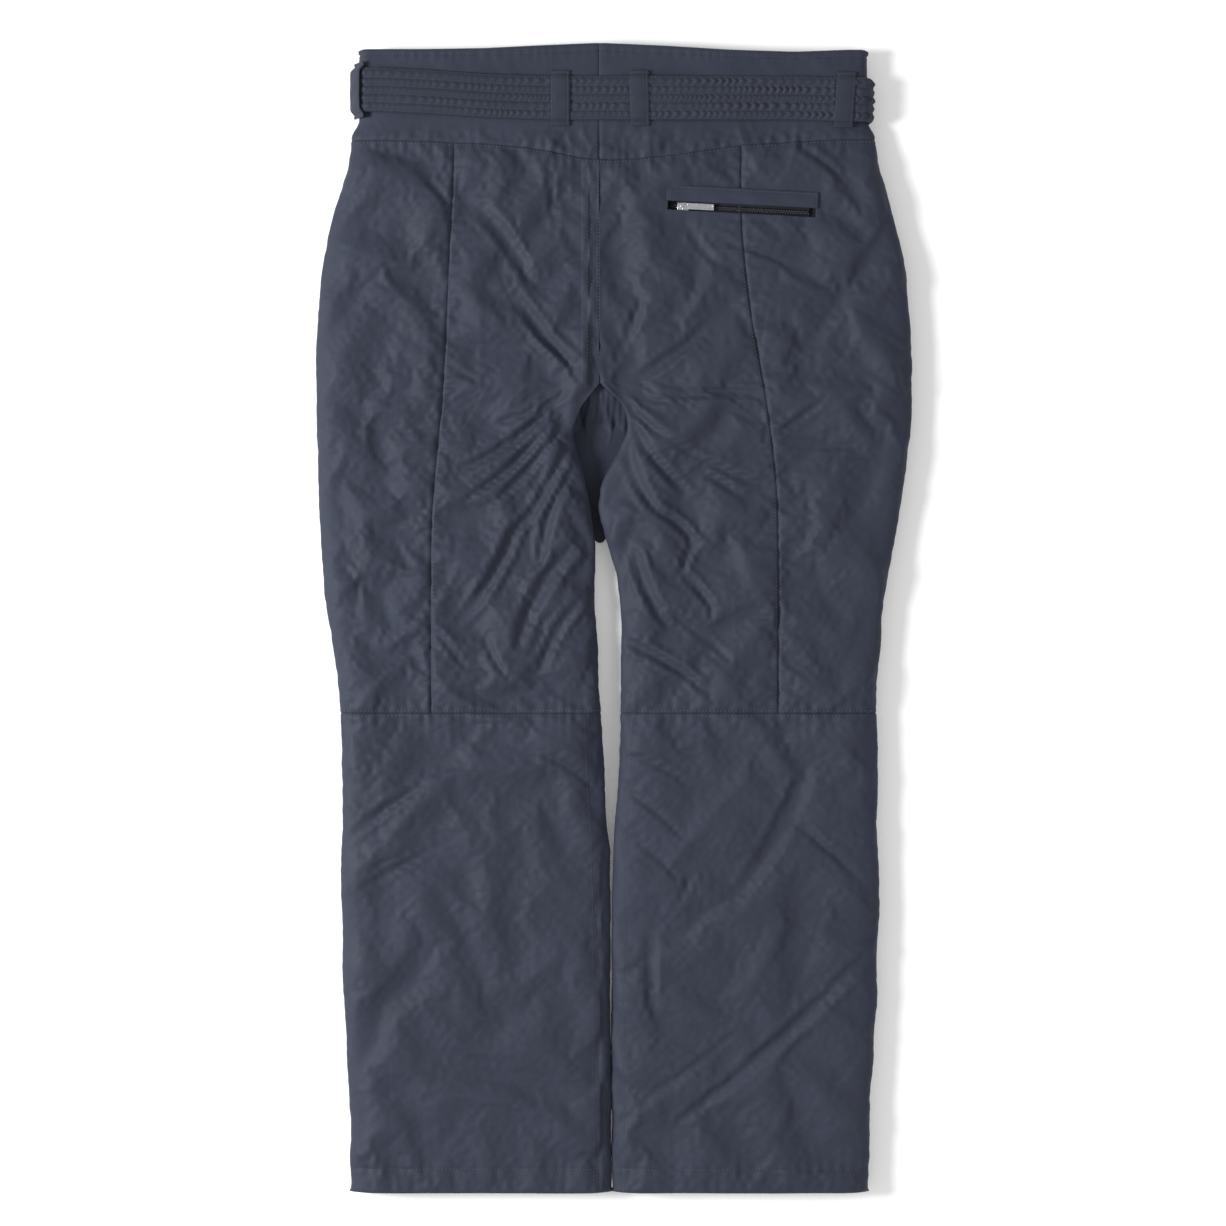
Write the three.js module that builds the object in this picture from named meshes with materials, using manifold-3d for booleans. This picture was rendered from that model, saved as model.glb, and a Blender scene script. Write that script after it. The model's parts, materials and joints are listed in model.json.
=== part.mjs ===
// Insulated ski pants, lying flat on their front with the back upwards.
// Millimetres. +Y runs from the hems to the waist, +X to the wearer's right, +Z up out of the back.
// The origin is at the middle of the footprint, on the surface that the pants lie on.
// Every cut piece of cloth is a padded layer of its own, so the pants are hollow:
// shell, lining, air, lining, shell.

import * as THREE from "three";
import { mergeVertices } from "three/addons/utils/BufferGeometryUtils.js";
import Module from "manifold-3d";

const wasm = await Module();
wasm.setup();

// ---- Driving dimensions -------------------------------------------------------------------------

// Stations along the length.
const HEM_Y = -504.5;
const KNEE_Y = -84;
const CROTCH_Y = 205;
const YOKE_SLOPE_Y = 395; // the cloth starts to draw in towards the belt here
const WAIST_SEAM_Y = 428;
const BACK_RISE = 71; // height of the back waistband at its sides
const BACK_PEAK = 5.5; // how much further it rises at the centre back
const FRONT_RISE = 52;
const CENTRE_X = -12; // the centre back and centre front seams, as the pants lie

// Half widths of the lying garment, left and right of the origin, at its stations.
const LEFT = { waist: 226, top: 220, hip: 262, thigh: 252, knee: 239.5, shin: 239.5, hem: 230.5 };
const RIGHT = { waist: 226, top: 217, hip: 262, thigh: 237, knee: 231, shin: 234, hem: 224.5 };
const HIP_Y = 185;
const THIGH_Y = 0;
const SHIN_Y = -250;

// Thicknesses.
const LYING_HEIGHT = 26;
const WAIST_HALF_HEIGHT = 8.6;
const EDGE_ROUND = 30; // how far in from a side edge the layer is flat again
const SHELL = 4.5;
const LINING = 1.2;
const POCKET_CLOTH = 0.7;
const SEWN_GAP = 0.3; // between layers that are sewn or lie on each other
const SEAM_GAP = 1.0; // between two panels of one layer, along their seam
const HARDWARE_ROOM = 2.5; // between the upper shell and its lining, for zips and pocket bags
const SEAM_LIP = 1.6; // how far a layer's rounded edge stops short of the middle plane
const LEAST_LAYER = 1; // the thinnest that a layer gets in its rounded edges

// Waistband.
const BAND_THICK = 3.8;
const BAND_EDGE = LEFT.waist - 4;
const BAND_STOP = 84; // degrees round the side, where the front and back waistbands meet
const TAB = { width: 38, thick: 1.2, recess: 0.4, short: 2, underlap: 6 };
const SNAP = { cap: 6, neck: 1.3, socket: 4, fromEnd: 14, up: [16, 38], stack: 1.9 };

// Belt, its loops and its buckle.
const BELT_WIDTH = 39;
const BELT_Y = 455.5;
const BELT_LIFT_LEFT = 8; // the belt climbs this much towards the left side
const BELT_DROP_RIGHT = 2;
const BELT = 2.4;
const BELT_EASE = 0.5; // between the belt and the waistband, besides the usual gap
const BELT_STOP = 150; // degrees round the sides, where the belt's back piece ends
const LOOP = { width: 15, overhang: 5, thick: 0.9, stitched: 2.6, rise: 1.2 };
const BACK_LOOPS_X = [-46.5, 23];
const SIDE_LOOP_IN = 23; // the right side loop, from the side of the waist
const SIDE_LOOP_TURN = 58; // degrees that the left side loop has slid round the side
const FRONT_LOOP_X = 92;
const BUCKLE = {
  length: 40,
  width: 46,
  wall: 1.1,
  proud: 0.6, // the socket's face over the belt's
  window: 14,
  windowAt: 17,
  buttonProud: 0.3,
  tongueLength: 32,
  tongueGap: 0.4,
  plate: 12,
};
const BUCKLE_TRAVEL = 34; // how far the tongue slides out, which the right half of the belt leaves room for

// Zips. A zip's own frame has +X along it, +Z out of the garment, and its coil centred on the origin.
const ZIP = { tape: 20, tapeThick: 0.5, coil: 4.4, coilThick: 1.4 };
const SLIDER = { length: 10, width: 7.6, plate: 1, clearance: 0.3 };
const ARCH = { length: 4.6, rise: 2.4, wall: 0.8, width: 1.2 };
const PULL = { length: 27, width: 5.6, thick: 1, window: 3.2, arm: 1.4, bar: 1 };
const ZIP_DEPTH = 4.9; // the coil's centre, under the garment's skin

const BACK_POCKET = {
  x: 49,
  y: 361.5,
  length: 128,
  tilt: -3,
  slotBelow: 4,
  slotAbove: 16,
  welt: 11,
  bagDepth: 140,
  sliderAt: 12,
};
const HAND_POCKET = { x: 150, y: 318, length: 150, slot: 10, lean: 62, sliderAt: 8 };
const HAND_BAG = { from: 22, to: 160, width: 112, above: 16 };
const WELT = 3;
const FLY = { top: 391, length: 138, width: 30, guard: 1.2, sliderAt: 7 };

// Legs.
const LEGS_GAP = 4.5;
const YOKE_DROP = 27; // the yoke seam at the centre back, below the waist seam
const GAITER = { height: 150, thick: 0.8, inset: 10, width: 180, ease: 1.2 };
const ELASTIC = { width: 14, thick: 0.9, up: 2 };
const GUSSET = { thick: 4, top: 190, bottom: 98, inset: 2.4, sag: 2 };
const HEM = 24; // the turned-up hem, above which the lining starts
const LINING_TUCK = 2.2; // how much further the linings stay inside the rounded side edges

const HALF = LYING_HEIGHT / 2;
const MIDDLE_Z = HALF;
const BACK = 1;
const FRONT = -1;

// ---- Materials ----------------------------------------------------------------------------------

const cloth = (color, roughness) => new THREE.MeshStandardMaterial({ color, roughness, metalness: 0 });
const MATERIAL = {
  shell: cloth(0x3b404d, 0.62),
  lining: cloth(0x2a2d36, 0.5),
  belt: cloth(0x393e4b, 0.6),
  tape: cloth(0x20232b, 0.8),
  pocket: cloth(0x30343e, 0.7),
  elastic: cloth(0x23262d, 0.85),
  plastic: cloth(0x17191e, 0.4),
  metal: new THREE.MeshStandardMaterial({ color: 0xb9bcc2, roughness: 0.28, metalness: 1 }),
};

// ---- Small helpers ------------------------------------------------------------------------------

const lerp = (a, b, t) => a + (b - a) * t;

function smooth(from, to, value) {
  const t = Math.min(1, Math.max(0, (value - from) / (to - from)));
  return t * t * (3 - 2 * t);
}

const spread = (from, to, count) => Array.from({ length: count }, (_, i) => lerp(from, to, i / (count - 1)));

// A smooth function through [at, value] pairs in rising order of at, flat beyond its ends.
function through(...pairs) {
  const slope = pairs.map((p, i) => {
    const a = pairs[Math.max(0, i - 1)];
    const b = pairs[Math.min(pairs.length - 1, i + 1)];
    const turns = (p[1] - a[1]) * (b[1] - p[1]) <= 0;
    return turns ? 0 : (b[1] - a[1]) / (b[0] - a[0]);
  });
  return (at) => {
    const last = pairs.length - 1;
    if (at <= pairs[0][0]) return pairs[0][1];
    if (at >= pairs[last][0]) return pairs[last][1];
    const i = pairs.findIndex((p) => p[0] > at) - 1;
    const span = pairs[i + 1][0] - pairs[i][0];
    const t = (at - pairs[i][0]) / span;
    const h = t * t * (3 - 2 * t);
    const tangents = t * (1 - t) * ((1 - t) * slope[i] - t * slope[i + 1]) * span;
    return lerp(pairs[i][1], pairs[i + 1][1], h) + tangents;
  };
}

// One closed body through equal loops of points, capped at both ends.
// Each cap is a strip between a loop's two halves.
function loft(loops) {
  const count = loops[0].length;
  const position = loops.flat().flatMap((p) => [p.x, p.y, p.z]);
  const index = [];
  for (let i = 0; i + 1 < loops.length; i++) {
    for (let j = 0; j < count; j++) {
      const a = i * count + j;
      const b = i * count + ((j + 1) % count);
      index.push(a, b, a + count, b, b + count, a + count);
    }
  }
  const cap = (start, order) => {
    for (let a = 0, b = count - 1; a + 1 < b; a++, b--) {
      index.push(...order([start + a, start + a + 1, start + b]));
      if (a + 2 < b) index.push(...order([start + a + 1, start + b - 1, start + b]));
    }
  };
  cap(0, ([a, b, c]) => [a, c, b]);
  cap((loops.length - 1) * count, (triangle) => triangle);
  return indexed(position, index);
}

function indexed(position, index) {
  const geometry = new THREE.BufferGeometry();
  geometry.setAttribute("position", new THREE.Float32BufferAttribute(position, 3));
  geometry.setIndex(index);
  return outward(geometry);
}

function signedVolume(geometry) {
  const p = geometry.getAttribute("position");
  const index = geometry.index.array;
  const [a, b, c] = [new THREE.Vector3(), new THREE.Vector3(), new THREE.Vector3()];
  let sum = 0;
  for (let i = 0; i < index.length; i += 3) {
    [a, b, c].forEach((v, k) => v.fromBufferAttribute(p, index[i + k]));
    sum += a.dot(b.cross(c));
  }
  return sum;
}

// Turns a closed geometry's faces outwards if they point in.
function outward(geometry) {
  if (signedVolume(geometry) >= 0) return geometry;
  const index = geometry.index.array;
  for (let i = 0; i < index.length; i += 3) [index[i + 1], index[i + 2]] = [index[i + 2], index[i + 1]];
  return geometry;
}

const degrees = (d) => (d * Math.PI) / 180;

// manifold-3d joins and cuts.
function solid(geometry) {
  const bare = geometry.clone();
  for (const name of Object.keys(bare.attributes)) if (name !== "position") bare.deleteAttribute(name);
  const merged = outward(mergeVertices(bare, 1e-4));
  return new wasm.Manifold(
    new wasm.Mesh({
      numProp: 3,
      vertProperties: new Float32Array(merged.attributes.position.array),
      triVerts: new Uint32Array(merged.index.array),
    }),
  );
}

function geometryOf(made) {
  const mesh = made.getMesh();
  const geometry = new THREE.BufferGeometry();
  geometry.setAttribute("position", new THREE.Float32BufferAttribute(mesh.vertProperties, 3));
  geometry.setIndex(new THREE.BufferAttribute(mesh.triVerts, 1));
  return geometry;
}

const cut = (geometry, ...tools) =>
  geometryOf(tools.reduce((made, tool) => made.subtract(solid(tool)), solid(geometry)));
const keep = (geometry, tool) => geometryOf(solid(geometry).intersect(solid(tool)));
const join = (geometry, ...others) =>
  geometryOf(others.reduce((made, other) => made.add(solid(other)), solid(geometry)));

function block(x0, x1, y0, y1, z0, z1) {
  const box = new THREE.BoxGeometry(x1 - x0, y1 - y0, z1 - z0);
  return box.translate((x0 + x1) / 2, (y0 + y1) / 2, (z0 + z1) / 2);
}

const garment = new THREE.Group();

function piece(name, geometry, material, parent = garment) {
  const mesh = new THREE.Mesh(geometry, material);
  mesh.name = name;
  parent.add(mesh);
  return mesh;
}

// ---- Plan outlines, as the garment lies -----------------------------------------------------------

const WAIST_TOP_Y = WAIST_SEAM_Y + BACK_RISE;
const sideEdge = (w, sign) => {
  const edge = through(
    [HEM_Y, w.hem],
    [SHIN_Y, w.shin],
    [KNEE_Y, w.knee],
    [THIGH_Y, w.thigh],
    [HIP_Y, w.hip],
    [lerp(HIP_Y, WAIST_SEAM_Y, 0.5), w.hip - 4],
    [YOKE_SLOPE_Y, w.waist + 8],
    [WAIST_SEAM_Y, w.waist + 4],
    [WAIST_TOP_Y, w.top],
  );
  return (y) => sign * edge(y);
};
const leftSide = sideEdge(LEFT, -1);
const rightSide = sideEdge(RIGHT, 1);

// The inner edges of the two legs.
// Below the crotch they swing apart round the gusset, then hang close together.
const leftInner = through(
  [HEM_Y, -3.5],
  [SHIN_Y, -LEGS_GAP],
  [KNEE_Y, -10.5],
  [THIGH_Y, -15],
  [68, -16.5],
  [103, -20.5],
  [130, -26],
  [165, -36],
  [190, -26],
  [CROTCH_Y, CENTRE_X],
);
const rightInner = through(
  [HEM_Y, 0.5],
  [SHIN_Y, 0],
  [KNEE_Y, 6.5],
  [THIGH_Y, 6],
  [37, 3],
  [68, -8],
  [95, -12.5],
  [121, -10],
  [147, 4],
  [171, 15],
  [192, 4],
  [CROTCH_Y, CENTRE_X],
);

// The long seams down the back, and the yoke seam.
const leftPrincess = through(
  [KNEE_Y, -160],
  [77, -159.5],
  [139, -155],
  [191, -150],
  [253, -146.5],
  [315, -144],
  [418, -139.5],
);
const rightPrincess = through(
  [KNEE_Y, 144.5],
  [75, 144.5],
  [114, 143],
  [158, 138.5],
  [203, 132],
  [264, 121],
  [323, 114],
  [374, 111],
  [414, 112.5],
);
const yokeSeam = through(
  [-235, WAIST_SEAM_Y - 9],
  [-139.5, WAIST_SEAM_Y - 11],
  [-72, WAIST_SEAM_Y - 16],
  [CENTRE_X, WAIST_SEAM_Y - YOKE_DROP],
  [56, WAIST_SEAM_Y - YOKE_DROP + 5],
  [112.5, WAIST_SEAM_Y - 14],
  [235, WAIST_SEAM_Y - 8],
);

// ---- The lying garment's layers -------------------------------------------------------------------

const halfHeight = (y) => lerp(HALF, WAIST_HALF_HEIGHT, smooth(YOKE_SLOPE_Y, WAIST_SEAM_Y, y));

// The upper lining leaves room for zips and pocket bags, except where the cloth draws in at the waist.
const upperLiningDepth = (y) =>
  SHELL + SEWN_GAP + HARDWARE_ROOM * (1 - smooth(YOKE_SLOPE_Y - 20, WAIST_SEAM_Y, y));

// A rounded edge: 0 at the edge and 1 where the layer is flat.
function round(distance, width) {
  const u = 1 - Math.min(1, Math.max(0, distance / width));
  return Math.sqrt(1 - u * u);
}

// How far from the middle plane the surface lies that is `depth` under the skin
// and `tuck` further inside the edges.
function reach(x, y, depth, tuck = 0) {
  const left = x < CENTRE_X + 0.01;
  const outer = left ? x - leftSide(y) : rightSide(y) - x;
  const inner = left ? leftInner(y) - x : x - rightInner(y);
  const legs = smooth(CROTCH_Y, CROTCH_Y - 60, y);
  const inset = depth + tuck;
  const width = EDGE_ROUND - depth;
  const shape = round(outer - inset, width) * lerp(1, round(inner - inset, width), legs);
  return (halfHeight(y) - depth) * shape;
}

// Offsets of a layer's columns from a rounded edge, for a layer whose own edge is `inset` from it.
const edgeColumns = (inset) => [inset, ...[1.5, 4.6, 10, 18, EDGE_ROUND].filter((d) => d > inset + 0.5)];

// One padded layer between two long edges, through cross sections at `rows`, from depth `from` to depth `to`.
function layer({ face, left, right, rows, middle, from, to, tuck = 0 }) {
  const [outerDepth, innerDepth] = [from, to].map((v) => (typeof v === "function" ? v : () => v));
  const columns = (y) => {
    const inset = edgeColumns(tuck > 0 ? outerDepth(y) + tuck : 0);
    const fromLeft = left.rounded ? inset.map((d) => left.at(y) + d) : [left.at(y)];
    const fromRight = right.rounded ? inset.map((d) => right.at(y) - d).reverse() : [right.at(y)];
    const span = spread(fromLeft[fromLeft.length - 1], fromRight[0], middle + 2).slice(1, -1);
    return [...fromLeft, ...span, ...fromRight];
  };
  const loops = rows.map((y) => {
    const outside = columns(y).map((x) => Math.max(reach(x, y, outerDepth(y), tuck), SEAM_LIP));
    const inside = columns(y).map((x, i) => {
      const away = Math.max(reach(x, y, innerDepth(y), tuck), SEWN_GAP / 2);
      return Math.min(away, outside[i] - LEAST_LAYER);
    });
    const place = (away) => columns(y).map((x, i) => new THREE.Vector3(x, y, MIDDLE_Z + face * away[i]));
    return [...place(outside), ...place(inside).reverse()];
  });
  return loft(loops);
}

// The long edges of the left and right halves. Above the crotch the inner edge is the centre seam.
const half = (side, gap) => {
  const [inner, outer, sign] = side === "left" ? [leftInner, leftSide, -1] : [rightInner, rightSide, 1];
  const middle = { at: (y) => (y > CROTCH_Y ? CENTRE_X : inner(y)) + (sign * gap) / 2, rounded: true };
  const edge = { at: outer, rounded: true };
  return side === "left" ? { left: edge, right: middle } : { left: middle, right: edge };
};

const UPPER_ROWS = [
  KNEE_Y + SEWN_GAP / 2,
  ...[-40, THIGH_Y, 37, 68, 95, 121, 147, 165, HIP_Y, CROTCH_Y, 250, 305, 350, 376, YOKE_SLOPE_Y, 412],
  WAIST_SEAM_Y - SEWN_GAP,
];
const LOWER_ROWS = spread(HEM_Y, KNEE_Y - SEWN_GAP / 2, 6);

// An upright prism over a plan outline, to keep one panel of a layer.
function prism(outline) {
  const shape = new THREE.Shape(outline.map(([x, y]) => new THREE.Vector2(x, y)));
  const prism = new THREE.ExtrudeGeometry(shape, { depth: 2 * LYING_HEIGHT, bevelEnabled: false });
  return prism.translate(0, 0, -HALF);
}

const FAR = 400;
const SEAM_ROWS = spread(KNEE_Y - 20, WAIST_SEAM_Y + 20, 24);
const SEAM_COLUMNS = spread(-FAR, FAR, 33);

// The prisms on one side of a seam that runs up the garment, and of one that runs across it.
function besideSeam(seam, sign) {
  const along = SEAM_ROWS.map((y) => [seam(y) + (sign * SEAM_GAP) / 2, y]);
  return prism([...along, [sign * FAR, WAIST_SEAM_Y + 20], [sign * FAR, KNEE_Y - 20]]);
}

function overSeam(seam, sign) {
  const along = SEAM_COLUMNS.map((x) => [x, seam(x) + (sign * SEAM_GAP) / 2]);
  return prism([...along, [FAR, sign * 2 * FAR], [-FAR, sign * 2 * FAR]]);
}

// ---- Shell: seat, thighs and lower legs -----------------------------------------------------------

function backShell() {
  const shell = { face: BACK, from: 0, to: SHELL, rows: UPPER_ROWS, middle: 5 };
  for (const [side, princess, sign] of [["left", leftPrincess, -1], ["right", rightPrincess, 1]]) {
    const whole = layer({ ...shell, ...half(side, SEAM_GAP) });
    const below = keep(whole, overSeam(yokeSeam, -1));
    const slots = side === "right" ? [backPocketSlot()] : [];
    piece(`yoke_${side}`, keep(whole, overSeam(yokeSeam, 1)), MATERIAL.shell);
    piece(`back_${side}`, cut(keep(below, besideSeam(princess, -sign)), ...slots), MATERIAL.shell);
    piece(`side_${side}`, cut(keep(below, besideSeam(princess, sign)), ...slots), MATERIAL.shell);
  }
}

// The opening of the fly, `ease` wider than its zip's facing at the side and lower at its end.
function flyOpening(left, ease, low) {
  const x = CENTRE_X - left;
  return block(x, CENTRE_X + FLY.width + ease, FLY.top - FLY.length - low, WAIST_SEAM_Y + 1, -SHELL, HALF);
}

function frontShell() {
  const flyCut = flyOpening(SEWN_GAP, 0, 12);
  const shell = { face: FRONT, from: 0, to: SHELL, rows: UPPER_ROWS, middle: 3 };
  for (const [side, sign] of [["left", -1], ["right", 1]]) {
    const whole = layer({ ...shell, ...half(side, SEAM_GAP) });
    piece(`front_${side}`, cut(whole, handPocketSlot(sign), flyCut), MATERIAL.shell);
  }
}

function lowerLegs() {
  for (const side of ["left", "right"]) {
    for (const [where, face] of [["back", BACK], ["front", FRONT]]) {
      const shell = layer({ ...half(side, 0), face, rows: LOWER_ROWS, middle: 2, from: 0, to: SHELL });
      piece(`lower_${where}_${side}`, shell, MATERIAL.shell);
    }
  }
}

function linings() {
  const inside = (y) => upperLiningDepth(y) + LINING;
  const upper = { rows: UPPER_ROWS, middle: 3, from: upperLiningDepth, to: inside, tuck: LINING_TUCK };
  const flyCut = flyOpening(1, 2, 20);
  for (const side of ["left", "right"]) {
    const edges = half(side, SEAM_GAP);
    piece(`lining_back_${side}`, layer({ ...upper, ...edges, face: BACK }), MATERIAL.lining);
    const front = layer({ ...upper, ...edges, face: FRONT });
    piece(`lining_front_${side}`, side === "right" ? cut(front, flyCut) : front, MATERIAL.lining);
    piece(`lining_lower_${side}`, sleeve(half(side, 0), SHELL + SEWN_GAP, LINING), MATERIAL.lining);
  }
}

// A tube of cloth inside a lower leg, `depth` under the skin.
function sleeve({ left, right }, depth, thick) {
  const ring = (y, d, tuck) => {
    const inset = edgeColumns(d + tuck);
    const xs = [...inset.map((c) => left.at(y) + c), ...inset.map((c) => right.at(y) - c).reverse()];
    const up = xs.map((x) => new THREE.Vector3(x, y, MIDDLE_Z + reach(x, y, d, tuck)));
    const down = xs.slice(1, -1).map((x) => new THREE.Vector3(x, y, MIDDLE_Z - reach(x, y, d, tuck)));
    return [...up, ...down.reverse()];
  };
  const rows = LOWER_ROWS.map((y, i) => (i === 0 ? HEM_Y + HEM : y));
  const last = rows.length - 1;
  const past = rows.map((y, i) => y + (i === last ? 1 : i === 0 ? -1 : 0));
  const outer = loft(rows.map((y) => ring(y, depth, LINING_TUCK)));
  return cut(outer, loft(past.map((y) => ring(y, depth + thick, LINING_TUCK))));
}

// A flat ring of cloth: a stadium in X and Z, `halfWidth` and `tall` each way, and `thick` through.
function stadiumTube(halfWidth, tall, thick, low, high) {
  const outline = (w, t, Kind) => {
    const shape = new Kind();
    shape.moveTo(-w + t, -t);
    shape.lineTo(w - t, -t);
    shape.absarc(w - t, 0, t, -Math.PI / 2, Math.PI / 2, false);
    shape.lineTo(-w + t, t);
    shape.absarc(-w + t, 0, t, Math.PI / 2, 1.5 * Math.PI, false);
    return shape;
  };
  const shape = outline(halfWidth, tall, THREE.Shape);
  shape.holes.push(outline(halfWidth - thick, tall - thick, THREE.Path));
  const options = { depth: high - low, bevelEnabled: false, curveSegments: 5 };
  const geometry = new THREE.ExtrudeGeometry(shape, options);
  return geometry.rotateX(Math.PI / 2).translate(0, high, MIDDLE_Z);
}

// A snow gaiter is a straight sleeve, with an elastic round the inside of its lower end.
function gaiters() {
  const tall = HALF - SHELL - LINING - GAITER.ease;
  const low = HEM_Y + GAITER.inset;
  const inside = GAITER.thick + SEWN_GAP;
  const [wide, elasticLow] = [GAITER.width / 2, low + ELASTIC.up];
  for (const [side, left, right] of [["left", leftSide, leftInner], ["right", rightInner, rightSide]]) {
    const middle = (left(HEM_Y) + right(HEM_Y)) / 2;
    const sleeveCloth = stadiumTube(wide, tall, GAITER.thick, low, low + GAITER.height);
    const elasticHigh = elasticLow + ELASTIC.width;
    const elastic = stadiumTube(wide - inside, tall - inside, ELASTIC.thick, elasticLow, elasticHigh);
    piece(`gaiter_${side}`, sleeveCloth.translate(middle, 0, 0), MATERIAL.lining);
    piece(`gaiter_elastic_${side}`, elastic.translate(middle, 0, 0), MATERIAL.elastic);
  }
}

// The diamond of cloth between the tops of the two legs.
function gusset() {
  const rows = spread(GUSSET.bottom, GUSSET.top, 8).map((y) => {
    const a = leftInner(y) + GUSSET.inset;
    const b = Math.max(rightInner(y) - GUSSET.inset, a + 1);
    const top = MIDDLE_Z - GUSSET.sag * smooth(GUSSET.bottom, GUSSET.bottom + 40, y);
    const line = (z) => spread(a, b, 4).map((x) => new THREE.Vector3(x, y, z));
    return [...line(top), ...line(top - GUSSET.thick).reverse()];
  });
  piece("crotch_gusset", loft(rows), MATERIAL.shell);
}

// ---- Waistband, belt and loops --------------------------------------------------------------------

// A strip of cloth round part of the waist. Its path runs in X and Z, its edges lie at low(x) and high(x).
function ribbon(path, low, high, thick) {
  const loops = path.map((p, i) => {
    const [nx, nz] = sideways(path, i, thick / 2);
    const corner = (side, y) => new THREE.Vector3(p[0] + side * nx, y, p[1] + side * nz);
    return [corner(1, high(p[0])), corner(1, low(p[0])), corner(-1, low(p[0])), corner(-1, high(p[0]))];
  });
  return loft(loops);
}

// The step of length `far` at right angles to a plane path's point i.
function sideways(path, i, far) {
  const a = path[Math.max(0, i - 1)];
  const b = path[Math.min(path.length - 1, i + 1)];
  const along = new THREE.Vector2(b[0] - a[0], b[1] - a[1]).normalize();
  return [-along.y * far, along.x * far];
}

// A path from `from` to a side, at `away` from the middle plane,
// turning round the side's edge to `stop` degrees.
function sidePath(from, side, away, face, edgeX, stop) {
  const turn = edgeX - away;
  const flat = spread(from, side * turn, 5).map((x) => [x, MIDDLE_Z + face * away]);
  const steps = Math.max(2, Math.round(stop / 22.5));
  const bend = spread(0, degrees(stop), steps + 1).slice(1);
  const round = bend.map((a) => [side * (turn + away * Math.sin(a)), MIDDLE_Z + face * away * Math.cos(a)]);
  return [...flat, ...round];
}

const BAND_AWAY = WAIST_HALF_HEIGHT - BAND_THICK / 2;
const SIDE_LOOP_X = LEFT.waist - SIDE_LOOP_IN;
const BELT_AWAY = WAIST_HALF_HEIGHT + SEWN_GAP + BELT / 2 + BELT_EASE;
const BELT_EDGE = BAND_EDGE + BELT_AWAY - BAND_AWAY;
const BELT_TURN = BELT_EDGE - BELT_AWAY;
const BELT_FRONT_Z = MIDDLE_Z - BELT_AWAY;
const LOOP_AWAY = BELT_AWAY + BELT / 2 + SEWN_GAP + LOOP.thick / 2;

const backTop = (x) => {
  const peak = BACK_PEAK * Math.exp(-(((x - CENTRE_X) / 75) ** 2));
  const dip = 2.5 * Math.exp(-(((x - 145) / 45) ** 2));
  return WAIST_TOP_Y + peak - dip;
};
const frontTop = () => WAIST_SEAM_Y + FRONT_RISE;
const waistLow = () => WAIST_SEAM_Y;
const beltMiddle = (x) => {
  const lift = BELT_LIFT_LEFT * smooth(-60, -BELT_EDGE, x);
  return BELT_Y + lift - BELT_DROP_RIGHT * smooth(150, BELT_EDGE, x);
};
const beltLow = (x) => beltMiddle(x) - BELT_WIDTH / 2;
const beltHigh = (x) => beltMiddle(x) + BELT_WIDTH / 2;

// The front closes with a tab of the left half that lies over the right half's underlap,
// held by two press studs.
function waistband() {
  const strip = (from, side, face, high) => {
    const path = sidePath(from, side, BAND_AWAY, face, BAND_EDGE, BAND_STOP);
    return ribbon(path, waistLow, high, BAND_THICK);
  };
  piece("waistband_back_left", strip(CENTRE_X - SEAM_GAP / 2, -1, BACK, backTop), MATERIAL.shell);
  piece("waistband_back_right", strip(CENTRE_X + SEAM_GAP / 2, 1, BACK, backTop), MATERIAL.shell);
  const tabEnd = CENTRE_X + TAB.width;
  const tabZ = MIDDLE_Z - WAIST_HALF_HEIGHT + TAB.recess;
  const lapZ = tabZ + TAB.thick + SNAP.stack;
  const flap = (x0, x1, z) => block(x0, x1, waistLow() + TAB.short, frontTop() - TAB.short, z, z + TAB.thick);
  const snapX = tabEnd - SNAP.fromEnd;
  const snapPlaces = SNAP.up.map((up) => WAIST_SEAM_Y + up);
  const radius = SNAP.neck + SEWN_GAP;
  const hole = () => turned([[0, 0], [radius, 0], [radius, LYING_HEIGHT], [0, LYING_HEIGHT]]);
  const holes = snapPlaces.map((y) => hole().translate(snapX, y, 0));
  const left = join(strip(CENTRE_X - SEAM_GAP / 2, -1, FRONT, frontTop), flap(CENTRE_X - 1, tabEnd, tabZ));
  const underlap = flap(CENTRE_X + 2, tabEnd + TAB.underlap, lapZ);
  const right = join(strip(tabEnd + SEAM_GAP, 1, FRONT, frontTop), underlap);
  piece("waistband_front_left", cut(left, ...holes), MATERIAL.shell);
  piece("waistband_front_right", cut(right, ...holes), MATERIAL.shell);
  snapPlaces.forEach((y, i) => {
    piece(`snap_cap_${i + 1}`, snapCap().translate(snapX, y, tabZ), MATERIAL.metal);
    piece(`snap_stud_${i + 1}`, snapStud().translate(snapX, y, lapZ), MATERIAL.metal);
  });
}

// A body turned about +Z from a profile of [radius, height] points, going round its section anticlockwise.
function turned(profile) {
  const points = profile.map(([r, z]) => new THREE.Vector2(r, z));
  return new THREE.LatheGeometry(points, 14).rotateX(Math.PI / 2);
}

// The cap of a press stud, with its socket behind the tab. Its origin is on the tab's outer face.
function snapCap() {
  const { cap, neck, socket } = SNAP;
  const inner = TAB.thick + SEWN_GAP;
  const crown = [[0, -0.9], [cap - 1, -0.9], [cap, -0.5], [cap, -SEWN_GAP], [neck, -SEWN_GAP]];
  const flange = [[neck, inner], [socket, inner], [socket, inner + 0.7]];
  const back = [...flange, [2, inner + 0.7], [2, inner + 0.3], [0, inner + 0.3]];
  return turned([...crown, ...back]);
}

// The stud's nose reaches into the socket. Its origin is on the underlap's outer face.
function snapStud() {
  const { neck, socket, stack } = SNAP;
  const inner = TAB.thick + SEWN_GAP;
  const nose = SEWN_GAP + 0.5 - stack;
  const front = [[0, nose], [1.6, nose], [1.6, -0.6], [socket, -0.6], [socket, -SEWN_GAP], [neck, -SEWN_GAP]];
  const back = [[neck, inner], [socket, inner], [socket, inner + 0.6], [0, inner + 0.6]];
  return turned([...front, ...back]);
}

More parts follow.
